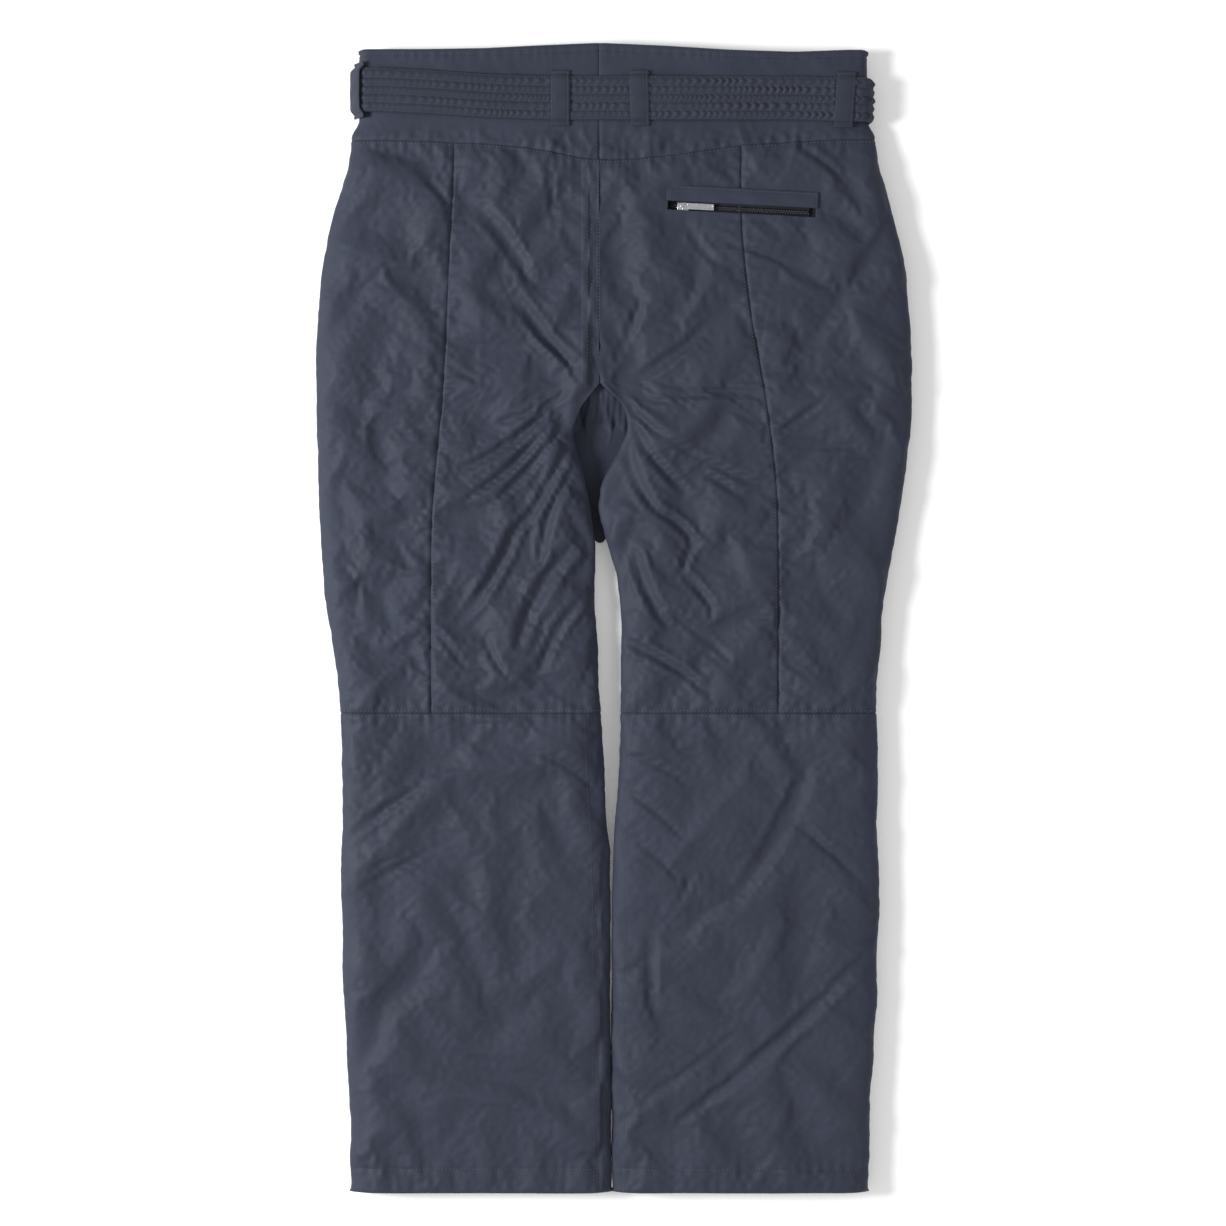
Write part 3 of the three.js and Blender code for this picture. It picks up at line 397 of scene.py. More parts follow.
# The big folds of the back: start, end, width, depth, bend.
BACK_FOLDS = [
    # fanning out of the crotch over the left thigh
    ((-40, 197), (-106, 170), 9, 2.2, 3),
    ((-48, 190), (-138, 128), 12, 3.0, 6),
    ((-50, 180), (-133, 102), 10, 2.8, 7),
    ((-46, 170), (-112, 96), 9, 2.6, 5),
    ((-42, 150), (-92, 70), 11, 3.2, 6),
    ((-84, 88), (-140, -8), 13, 3.6, 7),
    ((-40, 128), (-64, 44), 12, 3.2, -5),
    ((-30, 70), (-86, -30), 16, 3.4, -8),
    ((-26, 20), (-66, -52), 11, 2.4, -5),
    ((-159, -10), (-130, -46), 8, 1.8, 2),
    ((-112, -16), (-90, -56), 9, 2.2, -3),
    # and over the right thigh
    ((-8, 204), (76, 140), 10, 2.8, -5),
    ((76, 140), (136, 116), 8, 2.0, -3),
    ((12, 180), (66, 108), 11, 3.0, -6),
    ((8, 150), (44, 86), 12, 3.2, -4),
    ((40, 92), (72, 62), 10, 3.0, 4),
    ((72, 66), (60, 36), 9, 2.8, -3),
    ((60, 38), (88, 4), 10, 2.6, 3),
    ((77, 127), (116, 102), 8, 2.0, 2),
    ((18, 60), (50, -10), 13, 2.8, -5),
    ((6, -20), (80, -64), 10, 2.4, 4),
    ((40, 10), (104, -40), 9, 2.0, 3),
    ((139, 158), (184, 192), 8, 1.8, -2),
    ((160, 148), (216, 148), 7, 1.5, 2),
    # the seat
    ((-122, 362), (-72, 290), 15, 2.4, 5),
    ((-165, 384), (-142, 360), 8, 1.6, 1),
    ((-116, 206), (-96, 222), 7, 1.4, 0),
    ((-116, 206), (-136, 214), 6, 1.3, 0),
    ((-58, 402), (-53, 330), 8, 1.5, 2),
    ((-84, 282), (-26, 216), 12, 2.6, -5),
    ((-70, 250), (-30, 206), 9, 2.2, 4),
    ((24, 282), (-3, 220), 9, 2.0, 3),
    ((80, 256), (10, 206), 11, 2.4, 5),
    ((130, 196), (30, 188), 10, 2.2, -5),
    ((164, 411), (200, 384), 9, 1.8, 2),
    ((66, 345), (88, 312), 10, 1.9, -3),
    ((90, 330), (152, 310), 9, 1.8, 2),
    # the lower legs
    ((-239, -200), (-164, -146), 10, 2.0, 3),
    ((-222, -240), (-150, -200), 8, 1.5, 2),
    ((-60, -120), (-16, -150), 8, 1.4, 2),
    ((170, -126), (102, -250), 17, 2.6, 8),
    ((68, -222), (56, -252), 9, 1.7, 1),
    ((157, -178), (222, -236), 9, 1.7, 2),
    ((228, -288), (46, -450), 13, 2.2, 6),
    ((36, -262), (36, -354), 13, 2.0, -4),
    ((14, -120), (66, -146), 7, 1.4, 2),
    ((10, -150), (62, -196), 8, 1.5, 3),
    ((12, -190), (60, -232), 8, 1.3, 2),
    ((30, -420), (110, -360), 9, 1.4, -3),
]


def seam_line(relief, distance, along, depth=1.2, width=1.5, pucker=0.55, reach=9.0):
    """Cloth drawn down into a seam, with short puckers across it."""
    wave = np.interp(along.ravel(), PUCKER_AT, PUCKER_WAVE).reshape(along.shape)
    near = np.exp(-np.abs(distance) / reach) * (1 - 0.6 * np.exp(-np.abs(distance) / 2))
    relief.h -= depth * np.exp(-((distance / width) ** 2)) + 0.55 * depth * np.exp(-np.abs(distance) / reach)
    relief.h += pucker * wave * near


def pucker_wave():
    """A wave along a seam whose spacing wanders between 6 and 14 mm."""
    at = np.arange(-700, 700, 0.5)
    spacing = np.interp(at, at[::20], rng.uniform(6, 14, len(at[::20])))
    size = np.interp(at, at[::30], rng.uniform(0.3, 1.3, len(at[::30])))
    return at, np.sin(np.cumsum(2 * math.pi * 0.5 / spacing)) * size


PUCKER_AT, PUCKER_WAVE = pucker_wave()


def within(value, low, high, soft=3.0):
    return smooth(low - soft, low + soft, value) * (1 - smooth(high - soft, high + soft, value))


def add_shared_seams(relief):
    """The seams that the back and the front both have: knees, hems and inseams."""
    X, Y = relief.X, relief.Y
    seam_line(relief, Y - KNEE_Y, X, 0.8, 1.5, 0.6)
    hem = HEM_Y + HEM_DEPTH
    relief.h += 0.7 * smooth(hem + 1.5, hem - 1.5, Y)
    seam_line(relief, Y - hem, X, 0.8, 1.2, 0.5, 7)


def grid_quads(rows, columns, first=0, flip=False):
    i, j = np.meshgrid(np.arange(rows - 1), np.arange(columns - 1), indexing="ij")
    a = first + (i * columns + j).ravel()
    order = (a, a + 1, a + columns + 1, a + columns)
    return np.stack(order[::-1] if flip else order, axis=1)


# Each sheet is a stretch of cloth between seams: face, side, its lowest and highest y, and its grid in mm.
SHEETS = [
    (BACK, "left", KNEE_Y, WAIST_SEAM_Y, 4.4),
    (BACK, "right", KNEE_Y, WAIST_SEAM_Y, 4.4),
    (BACK, "left", HEM_Y, KNEE_Y, 4.8),
    (BACK, "right", HEM_Y, KNEE_Y, 4.8),
    (FRONT, "left", HEM_Y, WAIST_SEAM_Y, 7.5),
    (FRONT, "right", HEM_Y, WAIST_SEAM_Y, 7.5),
]
SIM_SCALE = 0.01  # the sheets are simulated ten times larger than life, where the solver is steady
SIM_FRAMES = 22


def sheet_edges(side, y):
    """The outline of a sheet, a little wider than the plan, for the cloth that goes round the edges."""
    outer, inner = side_edge[side](y), middle_edge(side, y)
    return (outer - 9, inner + 9) if side == "left" else (inner - 9, outer + 9)


def cubic(grid, v, u):
    """Smooth samples of a grid at fractional rows v and columns u."""

    def weights(t):
        return (
            ((-0.5 * t + 1) * t - 0.5) * t,
            (1.5 * t - 2.5) * t * t + 1,
            ((-1.5 * t + 2) * t + 0.5) * t,
            (0.5 * t - 0.5) * t * t,
        )

    i, j = np.floor(v).astype(int), np.floor(u).astype(int)
    across, along = weights(u - j), weights(v - i)
    total = 0
    for a in range(4):
        row = np.clip(i + a - 1, 0, grid.shape[0] - 1)
        for b in range(4):
            total = total + along[a] * across[b] * grid[row, np.clip(j + b - 1, 0, grid.shape[1] - 1)]
    return total


def sheet_object(name, start, face, side, low, high, pitch):
    """A flat sheet cut 3 to 5% too large for the seams that hold it, with the main folds laid in it."""
    columns = round(260 / pitch)
    rows = round((high - low) / pitch)
    V, U = np.meshgrid(np.linspace(0, 1, rows + 1), np.linspace(0, 1, columns + 1), indexing="ij")
    Y = mix(low, high, V)
    left, right = sheet_edges(side, Y)
    X = mix(left, right, U)
    near = np.minimum(np.minimum(X - left, right - X), np.minimum(Y - low, high - Y))
    if face == BACK and low > HEM_Y:
        near = np.minimum(near, np.abs(X - princess[side](Y)))
        near = np.minimum(near, np.abs(Y - yoke_seam(X)))
    held = near < 0.52 * pitch
    Z = (start.at(X, Y) + 0.2 * rng.standard_normal(X.shape)) * ~held
    mesh = bpy.data.meshes.new(name)
    points = np.stack([X, Y, Z], axis=2).reshape(-1, 3) * SIM_SCALE
    mesh.from_pydata(points.tolist(), [], grid_quads(rows + 1, columns + 1).tolist())
    sheet = linked(name, mesh)
    hold = sheet.vertex_groups.new(name="hold")
    ease = sheet.vertex_groups.new(name="ease")
    index = np.arange(X.size)
    hold.add(index[held.ravel()].tolist(), 1.0, "REPLACE")
    hold.add(index[~held.ravel()].tolist(), 0.05, "REPLACE")
    bunched = np.exp(-(((X - CENTRE_X) / 150) ** 2) - ((Y - 110) / 170) ** 2)
    fullness = np.clip(0.35 + 0.65 * bunched, 0, 1) if low > HEM_Y else np.full_like(X, 0.3)
    for level in np.unique(fullness.round(1)):
        chosen = index[(fullness.round(1) == level).ravel()]
        ease.add(chosen.tolist(), 1 - float(level), "REPLACE")
    cloth = sheet.modifiers.new("buckle", "CLOTH")
    settings = cloth.settings
    settings.quality, settings.mass = 6, 0.3
    settings.tension_stiffness = settings.compression_stiffness = 15
    settings.shear_stiffness, settings.bending_stiffness = 7.5, 1.0
    settings.vertex_group_mass, settings.pin_stiffness = "hold", 1
    settings.vertex_group_shrink = "ease"
    settings.shrink_min, settings.shrink_max = -0.062, 0.0
    settings.bending_damping, settings.air_damping = 0.5, 2
    settings.effector_weights.gravity = 0
    cloth.collision_settings.use_collision = False
    cloth.point_cache.frame_start, cloth.point_cache.frame_end = 1, SIM_FRAMES
    return sheet, (rows + 1, columns + 1)


def buckled(starts):
    """Simulates every sheet at once, and returns the relief that they buckle into, by face."""
    made = {face: Relief() for face in (BACK, FRONT)}
    sheets = [sheet_object(f"sheet_{i}", starts[sheet[0]], *sheet) for i, sheet in enumerate(SHEETS)]
    for frame_number in range(1, SIM_FRAMES + 1):
        bpy.context.scene.frame_set(frame_number)
    graph = bpy.context.evaluated_depsgraph_get()
    for (face, side, low, high, _), (sheet, shape) in zip(SHEETS, sheets):
        mesh = sheet.evaluated_get(graph).data
        co = np.empty(3 * len(mesh.vertices))
        mesh.vertices.foreach_get("co", co)
        height = co.reshape(*shape, 3)[..., 2] / SIM_SCALE
        relief = made[face]
        left, right = sheet_edges(side, relief.Y)
        u, v = (relief.X - left) / (right - left), (relief.Y - low) / (high - low)
        inside = (u >= 0) & (u <= 1) & (v >= 0) & (v <= 1)
        relief.h[inside] = cubic(height, v[inside] * (shape[0] - 1), u[inside] * (shape[1] - 1))
    for sheet, _ in sheets:
        discard(sheet)
    bpy.context.scene.frame_set(1)
    return made


def add_back_seams(relief):
    X, Y = relief.X, relief.Y
    for side in SIDES:
        line = blank_like(relief)
        seam_line(line, X - princess[side](Y), Y, 1.0, 1.3, 0.45)
        relief.h += line.h * within(Y, KNEE_Y, WAIST_SEAM_Y - 14)
    line = blank_like(relief)
    seam_line(line, Y - yoke_seam(X), X, 0.7, 1.4, 0.6)
    relief.h += line.h * within(X, -235, 235)
    line = blank_like(relief)
    centre = X - CENTRE_X
    seam_line(line, centre, Y, 1.0, 1.0, 0.5)
    line.h += 0.4 * within(centre, -15, -1, 1.0) - 0.3 * np.exp(-(((centre + 15.5) / 1.0) ** 2))
    relief.h += line.h * (Y > CROTCH_Y)


def blank_like(relief):
    blank = Relief.__new__(Relief)
    blank.h = np.zeros_like(relief.h)
    return blank


def soft_limit(height, lowest, highest):
    return np.where(height < 0, lowest * np.tanh(height / lowest), highest * np.tanh(height / highest))


# Creases at random: how many, then the least and the most length, width and height.
START_CREASES = {
    BACK: (150, (45, 140), (8, 15), (0.7, 2.2)),
    FRONT: (160, (45, 130), (8, 14), (0.5, 1.4)),
}
YOKE_PUCKERS = 46
FOLD_DEPTH = 1.35  # the main folds are laid this much deeper than BACK_FOLDS says


def add_yoke_puckers(relief):
    """Folds that run down from the belt."""
    for _ in range(YOKE_PUCKERS):
        x, long = rng.uniform(-190, 190), rng.uniform(24, 72)
        end = (x + rng.uniform(-0.6, 0.6) * long, 452 - long)
        relief.fold((x, 456), end, rng.uniform(4, 9), rng.uniform(0.7, 2.0), rng.uniform(-0.2, 0.2))


def small_creases(face):
    """The creases that are too small for the simulated sheets."""
    number = 1.0 if face == BACK else 0.6
    small = Relief()
    scatter_folds(small, int(700 * number), (14, 60), (3.2, 6.5), (0.15, 0.6), 0.8)
    scatter_folds(small, int(1500 * number), (7, 24), (2.2, 4), (0.06, 0.2), 0.4)
    small.h += 0.5 * small.noise(75) + 0.05 * small.noise(9)
    if face == BACK:
        add_yoke_puckers(small)
    return small.h


def calm_sides(relief):
    """Makes the valleys shallow near the sides, so that the lining stays covered."""
    from_left = relief.X - side_edge["left"](relief.Y)
    from_right = side_edge["right"](relief.Y) - relief.X
    calm = mix(0.35, 1, smooth(4, 36, np.minimum(from_left, from_right)))
    relief.h = np.where(relief.h < 0, relief.h * calm, relief.h)


def cloth_reliefs():
    """The wrinkles of both faces: the main folds, what they buckle into, and small creases on top."""
    starts = {face: Relief() for face in (BACK, FRONT)}
    for start, end, width, depth, bend in BACK_FOLDS:
        starts[BACK].pinch(start, end, width, FOLD_DEPTH * depth, bend)
    for face, relief in starts.items():
        scatter_folds(relief, *START_CREASES[face])
    made = buckled(starts)
    for face, relief in made.items():
        relief.h = soft_limit(relief.h + small_creases(face), -5.5, 6.5)
        relief.h *= mix(0.9, 1, within(relief.Y, -100, 470, 60))
        calm_sides(relief)
        if face == BACK:
            by_pocket = within(relief.X, welt_low[0] - 5, welt_high[0] + 5, 7)
            by_pocket = by_pocket * within(relief.Y, welt_low[1] - 9, welt_high[1] + 3, 6)
            relief.h *= mix(1, 0.18, by_pocket)
            add_back_seams(relief)
        else:
            relief.h = soft_limit(relief.h, -4.0, 1.6)
            below_fly = within(relief.X, fly_low[0] - 3, fly_high[0] + 3, 4)
            below_fly = below_fly * within(relief.Y, fly_low[1] - 40, fly_low[1] + 6, 5)
            relief.h = mix(relief.h, -4.5, below_fly)
        add_shared_seams(relief)
    return made


relief_of = cloth_reliefs()
EDGE_AT = np.arange(-560, 560, 1.0)
EDGE_WAVE = {}
for edge in ("left", "right", "inner_left", "inner_right"):
    rough = rng.standard_normal(len(EDGE_AT))
    wide = np.convolve(rough, np.hanning(70), "same")
    fine = np.convolve(rough, np.hanning(13), "same")
    EDGE_WAVE[edge] = 0.5 * wide / wide.std() + 0.2 * fine / fine.std()

# ---- Meshes ---------------------------------------------------------------------------------------

FLOOR_CLEAR = 0.05
PRESSED = 1.4  # cloth this near the floor is squashed down onto it


def pressed_down(points):
    """Keeps every point above the floor: heights under PRESSED are squeezed into what room is left."""
    z = points[:, 2]
    squeezed = FLOOR_CLEAR + (PRESSED - FLOOR_CLEAR) * np.exp((np.minimum(z, PRESSED) - PRESSED) / PRESSED)
    return np.column_stack([points[:, :2], np.where(z < PRESSED, squeezed, z)])


def make_mesh(name, points, quads=(), triangles=(), smooth_quads=None, cloth=None, on_floor=True):
    """A mesh object from points in millimetres. `cloth` holds the points' places on the flat cloth."""
    points = np.asarray(points, float)
    if on_floor:
        points = pressed_down(points)
    mesh = bpy.data.meshes.new(name)
    quads = np.asarray(quads, np.int32).reshape(-1, 4)
    triangles = np.asarray(triangles, np.int32).reshape(-1, 3)
    mesh.vertices.add(len(points))
    mesh.vertices.foreach_set("co", (points * MM).astype(np.float32).ravel())
    corners = np.concatenate([quads.ravel(), triangles.ravel()])
    starts = np.concatenate([np.arange(len(quads)) * 4, 4 * len(quads) + np.arange(len(triangles)) * 3])
    mesh.loops.add(len(corners))
    mesh.loops.foreach_set("vertex_index", corners)
    mesh.polygons.add(len(starts))
    mesh.polygons.foreach_set("loop_start", starts.astype(np.int32))
    shade = np.ones(len(starts), bool)
    if smooth_quads is not None:
        shade[smooth_quads:] = False
    mesh.polygons.foreach_set("use_smooth", shade)
    mesh.update(calc_edges=True)
    mesh.validate()
    if cloth is not None:
        attribute = mesh.attributes.new("cloth", "FLOAT_VECTOR", "POINT")
        attribute.data.foreach_set("vector", (np.asarray(cloth) * MM).astype(np.float32).ravel())
    return linked(name, mesh)


def border(rows, columns, first=0):
    """A grid's border points, in order round it."""
    bottom = np.arange(columns)
    right = np.arange(1, rows) * columns + columns - 1
    top = (rows - 1) * columns + np.arange(columns - 2, -1, -1)
    left = np.arange(rows - 2, 0, -1) * columns
    return first + np.concatenate([bottom, right, top, left])


def closed_layer(name, outer, inner, ratio, face, cloth):
    """A padded layer: a fine outer grid, an inner grid coarser by `ratio`, and the wall round them."""
    rows, columns = outer.shape[:2]
    low_rows, low_columns = inner.shape[:2]
    points = np.concatenate([outer.reshape(-1, 3), inner.reshape(-1, 3)])
    first = rows * columns
    flip = face < 0
    quads = np.concatenate(
        [grid_quads(rows, columns, 0, flip), grid_quads(low_rows, low_columns, first, not flip)]
    )
    fine, coarse = border(rows, columns), border(low_rows, low_columns, first)
    count = len(coarse)
    k = np.arange(count)
    here, there = coarse[k], coarse[(k + 1) % count]
    wall = []
    for j in range(ratio):
        a, b = fine[k * ratio + j], fine[(k * ratio + j + 1) % len(fine)]
        wall.append(np.stack([a, here if j < ratio / 2 else there, b], axis=1))
    centre = fine[(k * ratio + math.ceil(ratio / 2)) % len(fine)]
    wall.append(np.stack([centre, here, there], axis=1))
    wall = np.concatenate(wall)
    if flip:
        wall = wall[:, ::-1]
    flat = np.concatenate([cloth.reshape(-1, 3), inner.reshape(-1, 3)])
    return make_mesh(name, points, quads, wall, len(quads), flat)


def grid_normals(points, face):
    du = np.gradient(points, axis=1)
    dv = np.gradient(points, axis=0)
    normal = np.cross(du, dv) * face
    size = np.linalg.norm(normal, axis=2, keepdims=True)
    return normal / np.maximum(size, 1e-9)


class Arc:
    """The rounded edge of a lying layer: a quarter ellipse, with the distances along it."""

    def __init__(self, wide, tall):
        turn = np.linspace(0, math.pi / 2, 200)
        self.wide = wide
        self.x = wide * (1 - np.cos(turn))
        self.s = np.concatenate([[0], np.cumsum(np.hypot(np.diff(self.x), np.diff(tall * np.sin(turn))))])
        self.length = self.s[-1]


def unroll(left, right, round_left, round_right, share, arc):
    """Places across a layer, at equal shares of its unrolled width.

    Gives x, where it samples the relief, and the distances to both edges along the cloth.
    """
    flat = right - left - arc.wide * (round_left + round_right)
    width = flat + arc.length * (round_left + round_right)
    from_left = share * width
    from_right = width - from_left
    x = left + from_left - (arc.length - arc.wide) * round_left
    sample = x.copy()
    if round_left:
        x = np.where(from_left < arc.length, left + np.interp(from_left, arc.s, arc.x), x)
    if round_right:
        x = np.where(from_right < arc.length, right - np.interp(from_right, arc.s, arc.x), x)
    return x, sample, from_left, from_right


def shares(length, step, ratio, fine_ends=True):
    """Even shares from 0 to 1 with the end cells split, so that a seam's roll has its own points."""
    cells = max(3, round(length / step / ratio)) * ratio
    share = np.linspace(0, 1, cells + 1)
    if fine_ends:
        share[1] = 0.55 / length
        share[-2] = 1 - 0.55 / length
        share[2] = mix(share[1], share[3], 0.4)
        share[-3] = mix(share[-2], share[-4], 0.4)
    return share


ROLL = 0.6  # how far a panel's edge rolls down into its seam
DEEPEST = -6.2  # the relief's lowest height
LEAST_THICK = 1.1  # a padded layer's thickness under its deepest valley
SEAM_SLIT = 0.01  # the back and the front stop this far from their shared middle


def turned_in(distance, radius):
    """How much thinner a layer with a free, rounded edge is on each face."""
    u = 1 - np.clip(distance / radius, 0, 1)
    return radius * (1 - np.sqrt(1 - u * u))


class Panel:
    """The points of one panel of cloth, and where its seams lie on it."""

    def __init__(self, outer, inner, ratio, face, cloth, from_left, from_right, from_low, from_high):
        self.outer, self.inner, self.ratio, self.face, self.cloth = outer, inner, ratio, face, cloth
        self.from_left, self.from_right = from_left, from_right
        self.from_low, self.from_high = from_low, from_high

    def build(self, name):
        small = self.inner[:: self.ratio, :: self.ratio]
        return closed_layer(name, self.outer, small, self.ratio, self.face, self.cloth)

    def line(self, edge, distance, trim=2.0):
        """A line on the outside, `distance` from one of its edges, with the normals along it."""
        field = getattr(self, "from_" + edge)
        normal = grid_normals(self.outer, self.face)
        both = np.concatenate([self.outer, normal], axis=2)
        if edge in ("low", "high"):
            field, both = field.T, both.transpose(1, 0, 2)
        found = np.empty((len(field), 6))
        for i, (row, values) in enumerate(zip(field, both)):
            order = slice(None) if row[0] < row[-1] else slice(None, None, -1)
            found[i] = [np.interp(distance, row[order], values[order, k]) for k in range(6)]
        skip = max(1, int(trim / BACK_STEP))
        return found[skip:-skip, :3], found[skip:-skip, 3:]


def panel(side, face, left, right, low, high, round_left=None, round_right=None, **options):
    """A panel between two long edges (functions of y) and two cross edges (functions of x, or values).

    round_left and round_right name the wave of a rounded edge. Options: thickness, depth, tuck, share
    (of the relief), coarse, hem.
    """
    thickness, depth = options.get("thickness", SHELL), options.get("depth", 0.0)
    tuck, relief = options.get("tuck", 0.0), relief_of[face]
    step, ratio = (BACK_STEP, 4) if face == BACK else (FRONT_STEP, 2)
    if options.get("coarse"):
        step, ratio = 4.0, 1
    in_left, in_right = ((depth + tuck) * bool(edge) for edge in (round_left, round_right))
    low_f, high_f = (edge if callable(edge) else straight(edge) for edge in (low, high))
    middle = np.array([(left(np.array(0.0)) + right(np.array(0.0))) / 2])
    y_low, y_high = float(low_f(middle)[0]), float(high_f(middle)[0])
    span_y = y_high - y_low
    probe = np.linspace(y_low, y_high, 9)
    span_x = float((right(probe) - left(probe)).max())
    split = not options.get("coarse")
    U = shares(span_x, step, ratio, split)[None, :]
    V = shares(span_y, step, ratio, split)[:, None]
    U, V = U + 0 * V, V + 0 * U
    Y = mix(y_low, y_high, V)
    arc = Arc(EDGE_ROUND - depth, MIDDLE - depth)
    for _ in range(6):
        X, S, from_left, from_right = unroll(
            left(Y) + in_left, right(Y) - in_right, bool(round_left), bool(round_right), U, arc
        )
        Y = mix(low_f(X), high_f(X), V)
    base = np.stack([X, Y, skin_z(X, Y, face, side, depth, tuck)], axis=2)
    normal = grid_normals(base, face)
    height = relief.at(S, Y) * options.get("share", 1.0) * smooth(WAIST_SEAM_Y + 14, WAIST_SEAM_Y - 20, Y)
    inner_height = np.zeros_like(height)
    for distance, wave in ((from_left, round_left), (from_right, round_right)):
        if wave:
            own = np.interp(Y.ravel(), EDGE_AT, EDGE_WAVE[wave]).reshape(Y.shape)
            share = np.exp(-((distance / 6) ** 2))
            height = mix(height * smooth(-4, 22, distance), own, share)
            inner_height += own * share
            height -= 0.7 * np.exp(-((distance / 1.0) ** 2))
        else:
            height -= ROLL * np.exp(-((distance / 0.9) ** 2))
    from_low, from_high = V * span_y, (1 - V) * span_y
    if options.get("hem"):
        thinner = turned_in(from_low, 0.45 * thickness)
        height -= thinner
        inner_height += thinner
    else:
        height -= ROLL * np.exp(-((from_low / 0.9) ** 2))
    height -= ROLL * np.exp(-((from_high / 0.9) ** 2))
    height = np.maximum(height, DEEPEST)
    outer = base + normal * height[..., None]
    through = np.full_like(height, thickness)
    if split:
        through = np.maximum(through, LEAST_THICK - height)
    slim = np.ones_like(through)
    for distance, wave in ((from_left, round_left), (from_right, round_right)):
        if wave:
            slim = slim * rounded(distance, EDGE_ROUND)
    through = mix(min(1.0, thickness), through, slim)
    inner = base + normal * (inner_height - through)[..., None]
    own_side = np.maximum if face == BACK else np.minimum
    for points in (outer, inner):
        points[..., 2] = own_side(points[..., 2], MIDDLE + SEAM_SLIT * face)
    if face == FRONT:
        outer[..., 2] = np.maximum(outer[..., 2], FLOOR_CLEAR)
    cloth = np.stack([S, Y, np.full_like(S, 40.0 * face)], axis=2)
    return Panel(outer, inner, ratio, face, cloth, from_left, from_right, from_low, from_high)


def ribbon(path, low, high, thick, shape, step=1.4, ratio=2, place=None, free=(1, 1, 1, 1)):
    """A strip of cloth along a path of (along, away) points, its edges at low(along) and high(along).

    shape(s, w, along) gives the relief of its outside, from the distances along and across it. `free`
    says which edges (start, end, low, high) round off. `place` turns (along, across, away) into x, y, z.
    """
    path = np.array(path, float)
    run = np.concatenate([[0], np.cumsum(np.hypot(*np.diff(path, axis=0).T))])
    cells_u = max(2, round(run[-1] / step / ratio)) * ratio
    s = np.linspace(0, run[-1], cells_u + 1)
    along, away = np.interp(s, run, path[:, 0]), np.interp(s, run, path[:, 1])
    width = float(np.mean(high(along) - low(along)))
    cells_v = max(2, round(width / step / ratio)) * ratio
    w = np.linspace(0, 1, cells_v + 1)
    tangent = np.stack([np.gradient(along, s), np.gradient(away, s)], axis=1)
    tangent /= np.linalg.norm(tangent, axis=1, keepdims=True)
    S, W = np.meshgrid(s, w)
    across = mix(low(along)[None, :], high(along)[None, :], W)
    relief = shape(S, W * width, np.broadcast_to(along, S.shape))
    edges = (S, run[-1] - S, W * width, (1 - W) * width)
    thin = sum(turned_in(d, 0.46 * thick) * f for d, f in zip(edges, free))
    thin = np.minimum(thin, 0.46 * thick)

    def offset(far):
        return np.stack([along - tangent[:, 1] * far, across, away + tangent[:, 0] * far], axis=2)

    outer, inner = offset(relief + thick / 2 - thin), offset(np.minimum(0, relief) - thick / 2 + thin)
    cloth = np.stack([S, across, np.full_like(S, 90.0)], axis=2)
    if place:
        outer, inner = place(outer), place(inner)
    return Panel(outer, inner, ratio, 1, cloth, S, run[-1] - S, W * width, (1 - W) * width)


# ---- Materials ------------------------------------------------------------------------------------


class Nodes:
    """A small helper for node trees."""

    def __init__(self, name):
        self.material = bpy.data.materials.new(name)
        self.material.use_nodes = True
        self.tree = self.material.node_tree
        self.shader = self.tree.nodes["Principled BSDF"]

    def add(self, kind, **settings):
        node = self.tree.nodes.new("ShaderNode" + kind)
        for key, value in settings.items():
            if hasattr(node, key):
                setattr(node, key, value)
            else:
                node.inputs[key.replace("_", " ")].default_value = value
        return node

    def link(self, output, target):
        self.tree.links.new(output, target)

    def math(self, operation, a, b):
        node = self.tree.nodes.new("ShaderNodeMath")
        node.operation = operation
        for socket, value in zip(node.inputs, (a, b)):
            if isinstance(value, (int, float)):
                socket.default_value = value
            else:
                self.link(value, socket)
        return node.outputs[0]

    def ramp(self, factor, low, high, dark, light):
        node = self.tree.nodes.new("ShaderNodeValToRGB")
        node.color_ramp.elements[0].position = low
        node.color_ramp.elements[1].position = high
        node.color_ramp.elements[0].color = dark
        node.color_ramp.elements[1].color = light
        self.link(factor, node.inputs[0])
        return node.outputs[0]

    def set(self, **values):
        for key, value in values.items():
            self.shader.inputs[key.replace("_", " ")].default_value = value


